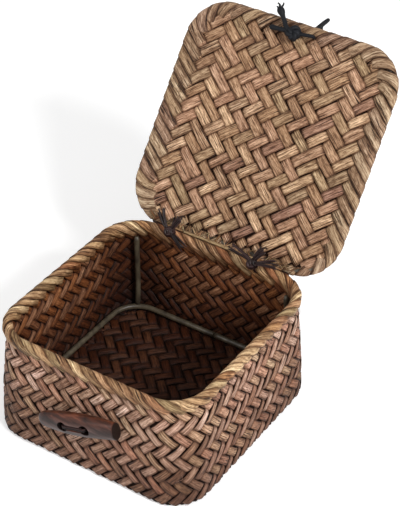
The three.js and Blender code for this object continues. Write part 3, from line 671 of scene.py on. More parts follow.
def weave_lid():
    middle = np.array([LID_MIDDLE[0], -LID_MIDDLE[1]])

    def spot(places, depth):
        """The seen side is the lid's inner face. Places run along the hinge and away from it."""
        return raised(places * (1, -1), LID_MIDDLE[2] + depth), (0, 0, -1)

    bundle = Bundle(FLAT_SECTION)
    flat_weave(
        bundle, spot, LID_STEPS, LID_SHIFTS, rising_on_lid,
        lambda places: inside_round(places - middle, LID_CORE, LID_PANEL_OFFSET), LID_STRIPS,
        rough_place=ROUGH_PLACE,
    )
    return bundle.build("lid_weave", LID_MATRIX)


# Folded edges

def over_edge(lengths, radius):
    """Places and normals, out and up, at lengths over a rounded edge, from its outer side inwards."""
    quarter = radius * math.pi / 2
    turn = math.pi / 2 + np.clip(lengths, -quarter, quarter) / radius
    normals = np.stack([np.cos(turn), np.sin(turn)], axis=-1)
    places = radius * normals
    places[..., 1] -= np.maximum(np.abs(lengths) - quarter, 0)
    return places, normals


def fold_strips(name, core, offset, height, shape, folds, inner_dark, matrix=None):
    """Strips folded over an edge side by side, each a little over the next. A fold has its place round the
    edge, its lean, its reach on both sides of it, and its tone. With a matrix the edge lies flat."""
    bundle = Bundle(FLAT_SECTION)
    x, y = bundle.section.T
    radius, width, sink, end_sink = shape
    quarter = radius * math.pi / 2
    for number, (start, lean, first, last, tone) in enumerate(folds):
        chance = random.Random(number * 7 + len(name))
        lengths = np.linspace(-quarter - first, quarter + last, FOLD_SAMPLES)
        leg = np.where(lengths < 0, first, last)
        share = np.clip((np.abs(lengths) - quarter) / leg, 0, 1)
        ends = eased(1 - leg * (1 - share) / np.minimum(FOLD_END, 0.8 * leg))
        flatter = 1 - 0.5 * np.clip(1 - np.abs(lengths) / (1.5 * quarter), 0, 1)
        wide = width / 2 * (1 + chance.uniform(-0.05, 0.08) + 0.04 * wave(lengths * 0.35, number))
        tilt = math.radians(FOLD_TILT + chance.uniform(-1.5, 2.5)) * math.copysign(1, lean) * flatter
        stretch = math.hypot(1, lean)
        beside = x * wide[:, None]
        places, normals = over_edge(lengths[:, None] + beside * lean / stretch, radius)
        feet, heading = plan_at(start + lean * lengths[:, None] - beside / stretch, core, offset)
        rise = y * FOLD_THICKNESS + np.sign(y) * FOLD_CROWN * (1 - x**2) + beside * tilt[:, None]
        rise = rise - (sink * share + end_sink * ends)[:, None]
        out, up = np.moveaxis(places + normals * rise[..., None], -1, 0)
        if matrix:
            out, up = up, -out
        flat = feet * np.array(core) + heading * (offset + out)[..., None]
        points = np.concatenate([flat, (height + up)[..., None]], axis=-1)
        # Painted shade: darker at the tucked ends and down the inner leg
        shade = (1 - FOLD_END_DARK * ends) * (1 - inner_dark * share * (lengths > 0))
        bundle.add_grid(points, lengths * stretch, tone, shade)
    return bundle.build(name, matrix or Matrix())


def fold_rim():
    whole = plan_breaks(BODY_CORE, RIM_OFFSET)[-1]
    count = round(whole / RIM_FOLD_PITCH)
    folds = []
    for fold in range(count):
        chance = random.Random(fold)
        start = whole * (fold + chance.uniform(-0.08, 0.08)) / count
        lean = -RIM_FOLD_SLOPE * chance.uniform(0.88, 1.12)
        folds.append((start, lean, *RIM_LEGS, chance.random()))
    edge = (BODY_CORE, RIM_OFFSET, RIM_HEIGHT)
    return fold_strips("rim_folds", *edge, RIM_FOLD_SHAPE, folds, RIM_INSIDE_DARK)


def lid_strip_starts():
    """Where strips fold over the lid's edge, with their tones: the plait's falling ones at left and right,
    its rising ones at the free edge and the hinge, and others in the corners."""
    breaks = plan_breaks(LID_CORE, LID_EDGE_OFFSET)
    slip_x, slip_y = (lean * LID_FOLD_RADIUS * math.pi / 2 for lean in LID_LEANS)
    across, up = LID_STEPS
    found = []
    for strip in range(-40, 41):
        for side in (-1, 1):
            edge_x, edge_y = (LID_MIDDLE[i] + side * (LID_CORE[i] + LID_EDGE_OFFSET) for i in (0, 1))
            y = up * (edge_x / across - LID_SHIFTS[0] - 2 * strip - LID_SHIFTS[1]) - LID_MIDDLE[1]
            if abs(y) < LID_CORE[1]:
                start = breaks[2] + LID_CORE[1] + y if side > 0 else breaks[6] + LID_CORE[1] - y
                found.append((start + slip_x, strip_tone(strip, False)))
            x = across * (LID_SHIFTS[0] - 2 * strip - edge_y / up - LID_SHIFTS[1]) - LID_MIDDLE[0]
            if abs(x) < LID_CORE[0]:
                start = x if side < 0 else breaks[4] + LID_CORE[0] - x
                found.append((start % breaks[-1] + slip_y, strip_tone(strip, True)))
    found.sort()
    starts = []
    for here, following in zip(found, found[1:] + [(found[0][0] + breaks[-1], 0)]):
        gap = following[0] - here[0]
        count = max(1, round(gap / LID_FOLD_PITCH))
        starts.append(here)
        for extra in range(1, count):
            start = here[0] + gap * extra / count
            starts.append((start, random.Random(int(start)).random()))
    return starts


def fold_lid():
    free, right, hinge, left = LID_LEG_SHARES
    folds = []
    for start, tone in lid_strip_starts():
        x, y = plan_at(start, LID_CORE, LID_EDGE_OFFSET)[1]
        share = x**2 * (right if x > 0 else left) + y**2 * (hinge if y > 0 else free)
        lean = LID_LEANS[0] * x**2 + LID_LEANS[1] * y**2
        folds.append((start, lean, LID_FOLD_LEG * share, LID_FOLD_LEG, tone))
    edge = (LID_CORE, LID_EDGE_OFFSET, 0)
    return fold_strips("lid_folds", *edge, LID_FOLD_SHAPE, folds, 0, LID_MIDDLE_MATRIX)


def crease_strands():
    """Strips in the crease behind the rim, between the hinge ties, and loose ends beside them."""
    bundle = Bundle(THIN_SECTION)
    for index, (first, last, y, z, width, tone) in enumerate(CREASE_STRANDS):
        x = np.linspace(first, last, 30)
        sway = wave(x / 6, 70 + index)
        centre = np.column_stack([x, y + 0.25 * sway, z + 0.2 * wave(x / 5, 80 + index)])
        sway = 0.15 * sway
        bundle.add(centre, CREASE_FACE, width * (1 + sway), CREASE_STRIP, tone, crown=0.1, twist=sway)
    chance = random.Random(9)
    up_lid, off_lid = -np.array(LID_MATRIX.to_3x3()).T[1:]
    steps = np.linspace(0, 1, 7)[:, None]
    for _ in range(CREASE_ENDS):
        start = (chance.uniform(-CREASE_REACH, CREASE_REACH), HINGE_Y + 0.2, HINGE_HEIGHT - 0.2)
        way = up_lid + (chance.uniform(-CREASE_LEAN, CREASE_LEAN), 0, 0)
        way = way * chance.uniform(*CREASE_END_REACH)
        lift = 0.25 + 0.5 * np.sin(steps * math.pi * 0.8) * chance.uniform(0.2, 1)
        width = np.linspace(1, 0.6, 7) * chance.uniform(0.6, 1.5)
        tone, shade = chance.random(), chance.uniform(0.5, 1.5)
        centre = way * steps + off_lid * lift + start
        bundle.add(centre, off_lid, width, CREASE_END_STRIP, tone, shade)
    return bundle.build("crease_strands")


def crease_shade_band():
    """A band darkened as painted shade that closes the crease below the hinge line."""
    bundle = Bundle(THIN_SECTION)
    x = np.linspace(-CREASE_REACH, CREASE_REACH, 24)
    centre = np.column_stack([x, np.tile(CREASE_PLACE, (24, 1))])
    bundle.add(centre, CREASE_BAND_FACE, CREASE_BAND_WIDTH, CREASE_STRIP, shade=0.3)
    return bundle.build("crease_shade_band")


# Dark sheets that close the gaps between the strips, painted shade for what is seen through them

def lining(name, rings, matrix=Matrix()):
    """A closed skin through rings of points."""
    grid = np.arange(len(rings) * len(rings[0])).reshape(len(rings), -1)
    return skin(name, moved(np.concatenate(rings), matrix), [grid], smooth=False)


def wall_shade_sheet():
    around = np.linspace(0, MID_BREAKS[-1], SHADE_SHEET_POINTS, endpoint=False)
    rings = []
    for half, levels in ((-SHADE_SHEET_HALF, SHADE_SHEET_LEVELS), (SHADE_SHEET_HALF, SHADE_SHEET_LEVELS[::-1])):
        for level in levels:
            ring, _ = on_wall(around, level, WALL_THICKNESS / 2 + half)
            rings.append(ring + [0, 0, half + SHADE_SHEET_HALF])
    return lining("wall_shade_sheet", rings)


def lid_shade_sheet():
    around = np.linspace(0, plan_breaks(LID_CORE, LID_PANEL_OFFSET)[-1], SHADE_SHEET_POINTS, endpoint=False)
    flat = plan_points(around, LID_CORE, LID_PANEL_OFFSET)
    rings = [raised(flat, half) for half in (-SHADE_SHEET_HALF, SHADE_SHEET_HALF)]
    return lining("lid_shade_sheet", rings, LID_MIDDLE_MATRIX)


# Wires

def floor_wire():
    core, radius = wall_plan(BASE_WIRE_HEIGHT)
    offset = radius - WIRE_INSET
    whole = plan_breaks(core, offset)[-1]
    distance = np.linspace(whole / 2 + BASE_WIRE_GAP, whole * 1.5 - BASE_WIRE_GAP, 160)
    path = raised(plan_points(distance, core, offset), BASE_WIRE_HEIGHT)
    return single_cord("floor_wire", path, WIRE_DIAMETER, 16)


def corner_post(side_x, side_y, hand):
    ends = []
    for height, turn in POST_ENDS:
        core, radius = wall_plan(height)
        heading = math.radians(45 + turn)
        flat = core + (radius - WIRE_INSET) * np.array([math.cos(heading), math.sin(heading)])
        ends.append([*(flat * (side_x, side_y)), height])
    centre = np.linspace(*ends, 24)
    share = np.linspace(0, 1, 24)
    centre[:, 0] += POST_BOW * np.sin(share * 5)
    taper = 1 - 0.35 * np.clip(1 - np.minimum(share, 1 - share) / 0.02, 0, 1)
    return single_cord("post_" + hand, centre, WIRE_DIAMETER, 16, taper)


# Cords

def frayed_end(bundle, path, seed):
    """Hairs at the cut end of a path."""
    chance = random.Random(seed)
    tip = path[-1]
    direction = unit(tip - path[-4])
    for _ in range(FRAY_HAIRS):
        spread = np.array([chance.uniform(-1, 1) for _ in range(3)])
        bend = direction + 0.55 * spread
        reach = FRAY_LENGTH * chance.uniform(0.5, 1)
        hair = [-direction * 0.8, direction * 0.3, bend * reach * 0.6, (bend + 0.25 * spread) * reach]
        add_hair(bundle, tip, hair, FRAY_HAIR, 0.4, chance)


def knot_turns(bundle, centre, axis, size, cord, turns, seed):
    """A tied lump: a few turns of cord about an axis, crossed by two more."""
    axis = unit(np.array(axis, float))
    side = unit(np.cross(axis, [0.2, 0.4, 0.9]))
    other = np.cross(axis, side)
    chance = random.Random(seed)
    reach = (size - cord) / 2
    for turn in range(turns):
        lift = (turn - (turns - 1) / 2) * cord * 0.9
        angles = np.linspace(0, 2 * math.pi, 28) + chance.uniform(0, 6)
        wobble = 1 + 0.12 * np.sin(2 * angles + chance.uniform(0, 6))
        ring = np.outer(np.cos(angles) * wobble, side) + np.outer(np.sin(angles) * wobble, other)
        sway = np.outer(0.25 * cord * np.sin(angles + chance.uniform(0, 6)), axis)
        add_cord(bundle, centre + ring * reach * 0.86 + sway + axis * lift, cord, tone=chance.random())
    angles = np.linspace(0, 2 * math.pi, 28)
    for crossing in range(2):
        lean = side * math.cos(crossing * 1.9 + 0.4) + other * math.sin(crossing * 1.9 + 0.4)
        ring = np.outer(np.cos(angles) * turns * cord * 0.55, axis)
        ring += np.outer(np.sin(angles) * reach, lean)
        add_cord(bundle, centre + ring, cord, tone=chance.random())


def tie_loop(side, hand):
    """Three waxed strands lie side by side round the hinge line."""
    bundle = cords(8)
    angles = np.linspace(0, 2 * math.pi, 73)
    for strand in range(3):
        x = side * TIE_X + (strand - 1) * TIE_CORD * 0.42 + 0.15 * np.sin(angles * 2 + strand)
        reach = TIE_RADIUS + 0.12 * np.sin(angles * 3 + strand * 2)
        path = np.column_stack([x, reach * np.cos(angles), reach * np.sin(angles)])
        add_cord(bundle, path + (0, HINGE_Y, HINGE_HEIGHT), TIE_CORD * 0.6, tone=0.3 * strand)
    return bundle.build("hinge_cord_" + hand)


def add_strands(bundle, path, count, diameter, spread, seed):
    """Loose strands that leave a knot together and part towards their cut ends."""
    normals = carried_normals(path)
    sides = np.cross(unit(np.gradient(path, axis=0)), normals)
    share = np.linspace(0, 1, len(path))
    for strand in range(count):
        chance = random.Random(seed + strand)
        turn = 2 * math.pi * (strand + chance.uniform(-0.2, 0.2)) / count + share
        reach = diameter * 0.5 + spread * share**1.5 * chance.uniform(0.4, 1.2)
        drift = (np.cos(turn) * reach)[:, None] * normals + (np.sin(turn) * reach)[:, None] * sides
        kept = int(len(path) * chance.uniform(0.82, 1))
        taper = np.clip((1.06 - share[:kept] * len(path) / kept) / 0.14, 0.35, 1)
        add_cord(bundle, (path + drift)[:kept], diameter, taper, tone=chance.random())


def tie_knot(side, hand):
    bundle = cords(8)
    angle = math.radians(TIE_KNOT_ANGLE)
    middle = np.array([side * TIE_X, HINGE_Y, HINGE_HEIGHT])
    centre = middle + TIE_KNOT_REACH * np.array([0, math.cos(angle), math.sin(angle)])
    knot_turns(bundle, centre, *TIE_KNOT, 40 + side)
    for index, tail in enumerate(TIE_TAILS[side]):
        path = centre + smooth_path([(0, 0, 0), *tail], 10)
        add_strands(bundle, path, TIE_STRANDS, TIE_STRAND, TIE_SPREAD, 60 + 10 * index + side)
    return bundle.build("hinge_tie_" + hand)


def closing_path(points, steps):
    """A smooth path through points given from the middle of the two holes in the lid's inner face."""
    return moved(smooth_path(points, steps) + (*CLOSING_MIDDLE, 0), LID_MATRIX)


def closing_cord():
    path = closing_path(np.array(CLOSING_ROUTE) + (0, 0, LID_THICKNESS), 8)
    return single_cord("closing_cord", path, CLOSING_CORD, 12), path * MM


def trefoil(size, turn):
    """The path of a simple overhand knot drawn tight, turned about its axis."""
    t = np.linspace(0, 2 * math.pi, 90)
    path = [np.sin(t) + 2 * np.sin(2 * t), np.cos(t) - 2 * np.cos(2 * t), -1.25 * np.sin(3 * t)]
    return moved(np.column_stack(path) * size / 6, Matrix.Rotation(turn, 4, "Z"))


def closing_tie():
    centre = np.array([*CLOSING_MIDDLE, 0]) + CLOSING_KNOT_OFFSET
    bundle = cords(10)
    for offset, size, turn, tone in CLOSING_KNOTS:
        path = centre + offset + trefoil(size, turn)
        add_cord(bundle, moved(path, LID_MATRIX), CLOSING_TIE_CORD, tone=tone)
    lift = CLOSING_CORD / 2 + 0.3
    for x in (-CLOSING_HOLE_X, CLOSING_HOLE_X):
        points = [(x, 0, LID_THICKNESS), (x, 0, 0), (x - lift, 0, -lift), CLOSING_KNOT_OFFSET]
        add_cord(bundle, closing_path(points, 8), CLOSING_CORD)
    for index, (tail, swelling) in enumerate(zip(CLOSING_TAILS, CLOSING_SWELLINGS)):
        path = closing_path([CLOSING_KNOT_OFFSET, *tail], 10)
        share = np.linspace(0, 1, len(path))
        taper = 1 + swelling * np.exp(-(((share - 0.92) / 0.09) ** 2))
        add_cord(bundle, path, CLOSING_TIE_CORD, taper)
        frayed_end(bundle, path, 20 + index)
    for prong in CLOSING_PRONGS:
        path = closing_path(prong, 8)
        add_cord(bundle, path, CLOSING_PRONG, np.linspace(1.3, 0.55, len(path)))
    return bundle.build("closing_tie")


# Toggle

TOGGLE_MATRIX = Matrix.Translation(TOGGLE_CENTRE) @ Matrix.Rotation(-math.radians(TOGGLE_TILT), 4, "Y")


def cut_cone(bar, wide, narrow, length, place, turn):
    """Takes a cone out of the bar, or a cylinder where its two radii are alike."""
    bpy.ops.mesh.primitive_cone_add(vertices=32, radius1=narrow * MM, radius2=wide * MM, depth=length * MM)
    tool = bpy.context.object
    tool.data.transform(Matrix.Translation(Vector(place) * MM) @ turn)
    cut = bar.modifiers.new("cut", "BOOLEAN")
    cut.object, cut.operation, cut.solver = tool, "DIFFERENCE", "EXACT"
    bpy.context.view_layer.objects.active = bar
    bpy.ops.object.modifier_apply(modifier=cut.name)
    bpy.data.objects.remove(tool)


def toggle_bar():
    half = TOGGLE_LENGTH / 2
    shape = smooth_path([(x * half, share * TOGGLE_HEIGHT / 2) for x, share in TOGGLE_SHAPE_SHARES], 4)
    angles = np.linspace(0, 2 * math.pi, TOGGLE_SIDES, endpoint=False)
    rings = []
    for x, radius in shape:
        carve = 1 + 0.012 * np.sin(5 * angles + 0.16 * x) + 0.01 * np.sin(3 * angles - 0.11 * x)
        radius = max(radius, 0.05) * carve
        y = radius * np.cos(angles) * TOGGLE_DEPTH / TOGGLE_HEIGHT
        rings.append(np.column_stack([np.full(TOGGLE_SIDES, x), y, radius * np.sin(angles)]))
    bar = lining("toggle_bar", rings)
    lengthwise, inward = (Matrix.Rotation(math.pi / 2, 4, axis) for axis in "YX")
    front, hole = -TOGGLE_DEPTH / 2, TOGGLE_HOLE / 2
    for x in (-TOGGLE_HOLE_X, TOGGLE_HOLE_X):
        cut_cone(bar, hole, hole, TOGGLE_HOLE_DEPTH, (x, 0, 0), inward)
        cut_cone(bar, hole + COUNTERSINK, hole - 0.1, COUNTERSINK_DEPTH, (x, front + 0.35, 0), inward)
    cut_cone(bar, GROOVE_RADIUS, GROOVE_RADIUS, 2 * TOGGLE_HOLE_X, (0, front - 0.1, 0), lengthwise)
    # Faces in and round the holes take the second, dark material: painted shade
    for polygon in bar.data.polygons:
        x, _, z = polygon.center / MM
        near = math.hypot(abs(x) - TOGGLE_HOLE_X, z) < hole + TOGGLE_HOLE_RIM
        polygon.material_index = int(near and abs(polygon.normal.y) < 0.75)
        polygon.use_smooth = True
    place = TOGGLE_MATRIX.copy()
    place.translation *= MM
    bar.data.transform(place)
    bar.data.set_sharp_from_angle(angle=math.radians(TOGGLE_SHARP_ANGLE))
    return bar


def stitch(half):
    """A smooth path through a stitch, from the points of its right half, in to its middle."""
    return smooth_path([(-x, y, z) for x, y, z in half] + half[-2::-1], 10)


def toggle_cord():
    back, front, x = TOGGLE_DEPTH / 2 + 0.3, -TOGGLE_DEPTH / 2 + LASHING_SINK, TOGGLE_HOLE_X
    path = stitch([(x, back, 0), (x, 0, 0), (x, front * 0.8, 0), (x * 0.75, front, 0), (0, front, 0.2)])
    bundle = cords(10)
    for strand in (-1, 1):
        shifted = moved(path + (0, 0, strand * LASHING * 0.26), TOGGLE_MATRIX)
        add_cord(bundle, shifted, LASHING * 0.62, tone=0.5 + 0.4 * strand)
    return bundle.build("toggle_cord")


def toggle_knot():
    wall, x = TOGGLE_DEPTH / 2 + STANDOFF, TOGGLE_HOLE_X
    inside = wall + WALL_THICKNESS + ANCHOR_SLACK + LASHING / 2
    path = stitch(
        [(x, wall - ANCHOR_SLACK, 0), (x, inside - LASHING, 0), (x * 0.8, inside, 0), (0, inside, 0)]
    )
    bundle = cords(10)
    add_cord(bundle, moved(path, TOGGLE_MATRIX), LASHING)
    knot_turns(bundle, moved((0, inside + ANCHOR_SLACK, 0), TOGGLE_MATRIX), *ANCHOR_KNOT, 12)
    return bundle.build("toggle_knot")


# Loose fibres

def loose_fibres(name, spots, matrix=Matrix()):
    """Fine hairs that lie almost flat on the strips. Spots are places, normals and directions."""
    bundle = cords(5)
    for seed, (point, normal, direction) in enumerate(spots):
        chance = random.Random(seed)
        length = chance.uniform(*FIBRE_LENGTHS)
        side = np.cross(normal, direction)
        lift = chance.uniform(0.25, 0.9)
        hair = [
            -normal * 0.3,
            direction * length * 0.35 + normal * lift * 0.7,
            direction * length * 0.7 + side * chance.uniform(-0.6, 0.6) + normal * lift,
            direction * length + side * chance.uniform(-1.4, 1.4) + normal * lift * 0.6,
        ]
        add_hair(bundle, point, hair, FIBRE, 0.5, chance)
    return bundle.build(name, matrix)


def wall_fibres():
    chance = random.Random(5)
    spots = []
    for _ in range(WALL_FIBRES):
        across, level = (chance.uniform(*ends) for ends in WALL_FIBRE_ENDS)
        point, normal = on_wall(across, level, FIBRE_ROOT)
        ahead, _ = on_wall(across + 1, level + chance.choice([-1, 1]), FIBRE_ROOT)
        spots.append((point[0], normal[0], unit(ahead - point)[0]))
    return loose_fibres("wall_fibres", spots)


def lid_fibres():
    """Fibres along the strips all over the lid's inner face, and tufts of them in some places."""
    chance = random.Random(6)
    flat = []
    for _ in range(LID_FIBRES):
        place = [chance.uniform(*ends) for ends in LID_FIBRE_ENDS]
        flat.append((*place, chance.choice([-1, 1]) * math.pi / 4))
    for x, y, count in FIBRE_TUFTS:
        for _ in range(count):
            drift = [chance.uniform(-TUFT_REACH, TUFT_REACH) for _ in range(2)]
            flat.append((x + drift[0], y + drift[1], chance.uniform(0, 2 * math.pi)))
    inward = np.array([0, 0, -1])
    spots = [
        (np.array([x, y, LID_FIBRE_LEVEL]), inward, np.array([math.cos(turn), math.sin(turn), 0]))
        for x, y, turn in flat
    ]
    return loose_fibres("lid_fibres", spots, LID_MATRIX)


# Materials

class Graph:
    """Adds nodes to a tree."""

    def __init__(self, tree):
        self.tree = tree

    def feed(self, socket, value):
        if isinstance(value, bpy.types.NodeSocket):
            self.tree.links.new(value, socket)
        else:
            socket.default_value = value

    def node(self, kind, *inputs, **settings):
        """A new node's outputs. Settings are named inputs or properties."""
        made = self.tree.nodes.new("ShaderNode" + kind)
        for socket, value in zip(made.inputs, inputs):
            self.feed(socket, value)
        for key, value in settings.items():
            if key in made.inputs:
                self.feed(made.inputs[key], value)
            else:
                setattr(made, key, value)
        return made.outputs


class Look(Graph):
    """A material in the making. Its methods add nodes and give their sockets."""

    def __init__(self, name, specular=0.5):
        self.material = bpy.data.materials.new(name)
        self.material.use_nodes = True
        super().__init__(self.material.node_tree)
        self.shader = self.tree.nodes["Principled BSDF"]
        self.feed(self.shader.inputs["Specular IOR Level"], specular)

    def math(self, operation, *values, clamp=False):
        return self.node("Math", *values, operation=operation, use_clamp=clamp)[0]

    def product(self, first, *others):
        for other in others:
            first = self.math("MULTIPLY", first, other)
        return first

    def scaled(self, value, factor, start, clamp=False):
        return self.math("MULTIPLY_ADD", value, factor, start, clamp=clamp)

    def ramp(self, factor, *stops):
        made = self.tree.nodes.new("ShaderNodeValToRGB")
        elements = made.color_ramp.elements
        while len(elements) < len(stops):
            elements.new(0.5)
        for element, (place, colour) in zip(elements, stops):
            element.position = place
            element.color = linear(colour) if isinstance(colour, str) else (colour, colour, colour, 1)
        self.feed(made.inputs[0], factor)
        return made.outputs[0]

    def mix(self, factor, first, second, blend_type="MIX"):
        made = self.tree.nodes.new("ShaderNodeMix")
        made.data_type, made.blend_type = "RGBA", blend_type
        for index, value in ((0, factor), (6, first), (7, second)):
            self.feed(made.inputs[index], value)
        return made.outputs[2]

    def noise(self, vector, detail, roughness=0.55):
        return self.node("TexNoise", vector, Scale=1.0, Detail=detail, Roughness=roughness)[0]

    def object_noise(self, scales, detail=3.0):
        return self.noise(self.node("Mapping", self.node("TexCoord")["Object"], Scale=scales)[0], detail)

    def strip(self):
        """What a bundle's points keep, as six sockets."""
        sockets = []
        for label in ("weave", "look"):
            sockets += self.node("SeparateXYZ", self.node("Attribute", attribute_name=label)["Vector"])
        return sockets

    def strip_noise(self, place, scales, detail, roughness=0.55):
        """Noise along and across each strip, of its own on each."""
        scaled = [self.product(value, scale) for value, scale in zip(place, (*scales, STRIP_SPREAD))]
        return self.noise(self.node("CombineXYZ", *scaled)[0], detail, roughness)

    def done(self, colour, roughness, height=None, strength=1.0, distance=0.0):
        """Feeds the shader, with a bump of a height where one is given, and gives the material."""
        self.feed(self.shader.inputs["Base Color"], colour)
        self.feed(self.shader.inputs["Roughness"], roughness)
        if height:
            bump = self.node("Bump", Height=height, Strength=strength, Distance=distance * MM)
            self.feed(self.shader.inputs["Normal"], bump[0])
        return self.material


def straw(name, outer, inner, roughness=0.6, edge_depth=1.0, edge_power=4.5, contrast=0.6):
    """Dry plant strips: fibres along each strip, a tone of its own, and painted shade at their edges and
    ends.
    """
    look = Look(name, 0.25)
    *place, tone, shade, side = look.strip()
    fibres = look.strip_noise(place, (0.06, 4.6), 4.0, 0.72)
    splits = look.strip_noise(place, (0.08, 7.5), 1.0)
    blotches = look.strip_noise(place, (0.14, 0.6), 2.0)
    flecks = look.strip_noise(place, (0.3, 4.5), 2.0, 0.7)
    outside, inside = (
        look.ramp(tone, *zip(np.linspace(0, 1, len(tones)), tones)) for tones in (outer, inner)
    )
    colour = look.mix(look.scaled(side, 2.0, 0.5, clamp=True), inside, outside)
    grain = look.product(
        look.ramp(fibres, (0.36, 0.2), (0.45, 0.54), (0.53, 0.68), (0.66, 0.88)),
        GRAIN_GAIN,
        look.ramp(splits, (0.33, 0.3), (0.41, 1.0)),
        look.scaled(look.ramp(splits, (0.62, 0.0), (0.72, 1.0)), 0.45, 1.0),
    )
    own_strength = look.scaled(look.math("FRACT", look.product(tone, 7.3)), 0.5, contrast)
    # Painted shade along each strip's edges
    edge = look.math("POWER", look.math("ABSOLUTE", place[1]), edge_power)
    dim = look.product(
        look.scaled(edge, -edge_depth, 1.0, clamp=True),
        shade,
        look.scaled(look.math("SUBTRACT", grain, 1.0), own_strength, 1.0),
        look.ramp(blotches, (0.3, 0.58), (0.5, 0.78), (0.7, 0.92)),
        look.ramp(flecks, (0.34, 0.3), (0.5, 0.72), (0.64, 0.95)),
        STRAW_GAIN,
    )
    warm = look.node("CombineColor", *(look.math("POWER", dim, power) for power in WARM_POWERS))[0]
    colour = look.mix(1.0, colour, warm, "MULTIPLY")
    return look.done(colour, look.scaled(fibres, 0.3, roughness - 0.15, clamp=True), fibres, distance=0.7)


def painted_wire():
    look = Look("painted wire")
    spots = look.object_noise((260, 260, 120), 4.0)
    colour = look.ramp(spots, (0.3, "2e261d"), (0.5, "4a4133"), (0.7, "5f5646"))
    return look.done(colour, look.ramp(spots, (0.3, 0.55), (0.7, 0.32)), spots, 0.25, 0.2)


def cord_look(name, dark, light, roughness, specular=0.2):
    look = Look(name, specular)
    *place, tone, _, _ = look.strip()
    threads = look.strip_noise(place, (3.0, 2.0), 3.0)
    mixed = look.scaled(tone, 0.4, look.product(threads, 0.7))
    return look.done(look.ramp(mixed, (0.3, dark), (0.8, light)), roughness, threads, 0.5, 0.15)


def toggle_wood():
    """A painted sheen in front, redder above where light is painted, and near black towards the end in
    shade.
    """
    look = Look("toggle wood", 0.35)
    grain = look.object_noise((80, 520, 520), 5.0)
    patches = look.object_noise((45, 60, 90), 2.0)
    mixed = look.scaled(grain, 0.7, look.product(patches, 0.3))
    sheen, red = (look.ramp(mixed, *zip(WOOD_STOPS, tones)) for tones in (SHEEN_WOOD, LIT_RED_WOOD))
    right, _, up = look.node("SeparateXYZ", look.node("TexCoord")["Normal"])
    colour = look.mix(look.ramp(up, (0.15, 0.0), (0.8, 1.0)), sheen, red)
    shaded = look.ramp(look.math("ADD", right, mixed), (0.9, 0.0), (1.2, 1.0))
    colour = look.mix(shaded, colour, linear("150a08"))
    return look.done(colour, look.ramp(grain, (0.3, 0.44), (0.7, 0.28)), grain, 0.3, 0.2)


def dull(name, dark, light):
    look = Look(name, 0.1)
    return look.done(look.ramp(look.object_noise((300, 300, 300)), (0.3, dark), (0.7, light)), 0.95)


body_straw = straw("body straw", BODY_OUTSIDE, BODY_INSIDE, edge_power=3.0, contrast=1.0)
base_straw = straw("base straw", BODY_INSIDE, BODY_OUTSIDE, edge_depth=0.9)
rim_straw = straw("rim straw", RIM_STRAW, BODY_INSIDE, 0.55, edge_power=2.7, contrast=1.0)
lid_straw = straw("lid straw", LID_INSIDE, LID_OUTSIDE, edge_depth=0.9, contrast=0.95)
lid_edge_straw = straw("lid edge straw", LID_EDGE, LID_EDGE, edge_power=2.6, contrast=1.1)
wire_paint = painted_wire()
hinge_waxed = cord_look("hinge waxed cord", "060303", "3c2827", 0.42, specular=0.3)
closing_elastic = cord_look("closing elastic cord", "08080a", "1d1f24", 0.6)
toggle_waxed = cord_look("toggle waxed cord", "0a0505", "301c1a", 0.5)
# Painted shade for the gaps between strips
painted_gap_shade = dull("dark gaps", "140b07", "281911")


def dress(piece, material, body, slot, *nodes):
    piece.data.materials.append(material)
    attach(piece, body)
    if nodes:
        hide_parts(*nodes)
    return piece


# The basket
dress(weave_walls(), body_straw, "basket", "body_straw", "woven_body")
dress(weave_base(), base_straw, "basket", "body_straw", "woven_body")
dress(wall_shade_sheet(), painted_gap_shade, "basket", "body_straw")
dress(wall_fibres(), body_straw, "basket", "body_straw")
dress(fold_rim(), rim_straw, "basket", "rim_straw", "body_rim_fold")
dress(crease_shade_band(), rim_straw, "basket", "rim_straw")
strands = dress(crease_strands(), rim_straw, "basket", "rim_straw")
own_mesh(strands)
dress(floor_wire(), wire_paint, "basket", "frame_wire", "base_wire")
for side_x, right_or_left in ((-1, "left"), (1, "right")):
    for side_y, front_or_back in ((-1, "front"), (1, "back")):
        hand = f"{front_or_back}_{right_or_left}"
        dress(corner_post(side_x, side_y, hand), wire_paint, "basket", "frame_wire", "corner_post_" + hand)

# The hinge ties
for side, hand in ((-1, "left"), (1, "right")):
    dress(tie_loop(side, hand), hinge_waxed, "basket", "hinge_cord", "hinge_loop_" + hand)
    tie = dress(tie_knot(side, hand), hinge_waxed, "basket", "hinge_cord", "hinge_knot_" + hand)
    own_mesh(tie)

# The lid
dress(weave_lid(), lid_straw, "lid", "lid_straw", "lid_panel")
dress(lid_shade_sheet(), painted_gap_shade, "lid", "lid_straw")
dress(lid_fibres(), lid_straw, "lid", "lid_straw")
dress(fold_lid(), lid_edge_straw, "lid", "lid_border_straw", "lid_border_fold")
cord, cord_path = closing_cord()
dress(cord, closing_elastic, "lid", "closing_cord", "closing_loop")
tie = dress(closing_tie(), closing_elastic, "lid", "closing_cord", "closing_knot")
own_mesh(tie)

# The toggle, with painted shade on the walls of its holes
bar = dress(toggle_bar(), toggle_wood(), "toggle", "toggle_wood", "toggle")
bar.data.materials.append(dull("dark holes", "0a0504", "1a0d0a"))
dress(toggle_cord(), toggle_waxed, "toggle", "toggle_cord", "toggle_lashing")
dress(toggle_knot(), toggle_waxed, "basket", "toggle_cord", "toggle_anchor_knot")

# The wires inside the folds stay as modelled
for name in ("body_rim_wire", "lid_edge_wire"):
    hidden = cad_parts[name]
    hidden.data.materials.clear()
    hidden.data.materials.append(wire_paint)


# Studio

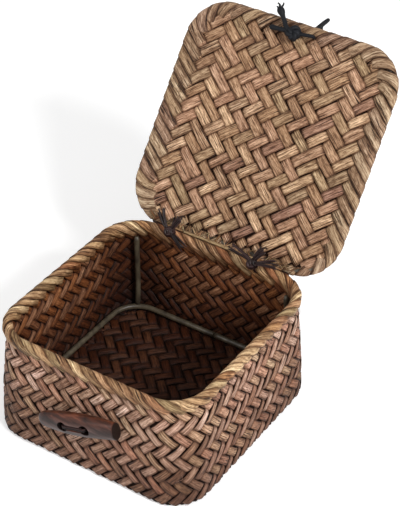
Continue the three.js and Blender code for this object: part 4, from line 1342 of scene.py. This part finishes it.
def pale_floor():
    reach = FLOOR_REACH * MM
    mesh = bpy.data.meshes.new("floor")
    corners = [(x * reach, y * reach, 0) for x, y in ((-1, -1), (1, -1), (1, 1), (-1, 1))]
    mesh.from_pydata(corners, [], [range(4)])
    look = Look("pale floor", 0.1)
    mesh.materials.append(look.done((FLOOR_WHITE, FLOOR_WHITE, FLOOR_WHITE, 1), 0.9))
    seen = look.node("LightPath")["Is Camera Ray"]
    glow = look.node("Emission", Strength=look.product(seen, FLOOR_GLOW))[0]
    both = look.node("AddShader", look.shader.outputs[0], glow)[0]
    look.feed(look.tree.nodes["Material Output"].inputs["Surface"], both)
    placed("floor", mesh)


def white_surroundings():
    world = bpy.data.worlds.new("studio")
    bpy.context.scene.world = world
    world.use_nodes = True
    world.node_tree.nodes.clear()
    graph = Graph(world.node_tree)
    lights = [graph.node("Background", (1, 1, 1, 1), light)[0] for light in (SURROUNDINGS, 1.0)]
    seen = graph.node("LightPath")["Is Camera Ray"]
    graph.node("OutputWorld", graph.node("MixShader", seen, *lights)[0])


def soft_lamp(name, place, size, power):
    light = bpy.data.lights.new(name, "AREA")
    light.shape, light.size, light.energy = "DISK", size * MM, power
    lamp = placed(name, light)
    lamp.location = Vector(place) * MM
    lamp.rotation_euler = (Vector(LAMP_AIM) - Vector(place)).to_track_quat("-Z", "Y").to_euler()


def photo_camera():
    data = bpy.data.cameras.new("photo camera")
    data.sensor_fit, data.sensor_height = "VERTICAL", SENSOR
    data.lens = FOCAL_PIXELS * SENSOR / PHOTO_HEIGHT
    data.clip_start, data.clip_end = 0.01, 50
    place = Matrix.Translation((0, 0, LOOK_HEIGHT * MM))
    for angle, axis in ((CAMERA_AZIMUTH, "Z"), (90 - CAMERA_ELEVATION, "X"), (CAMERA_ROLL, "Z")):
        place = place @ Matrix.Rotation(math.radians(angle), 4, axis)
    camera = placed("photo camera", data)
    camera.matrix_world = place @ Matrix.Translation(Vector(CAMERA_OFFSET) * MM)
    bpy.context.scene.camera = camera


pale_floor()
white_surroundings()
for name, lamp in LAMPS.items():
    soft_lamp(name, *lamp)
photo_camera()
bpy.context.scene.view_settings.view_transform = "Standard"

bpy.context.view_layer.update()
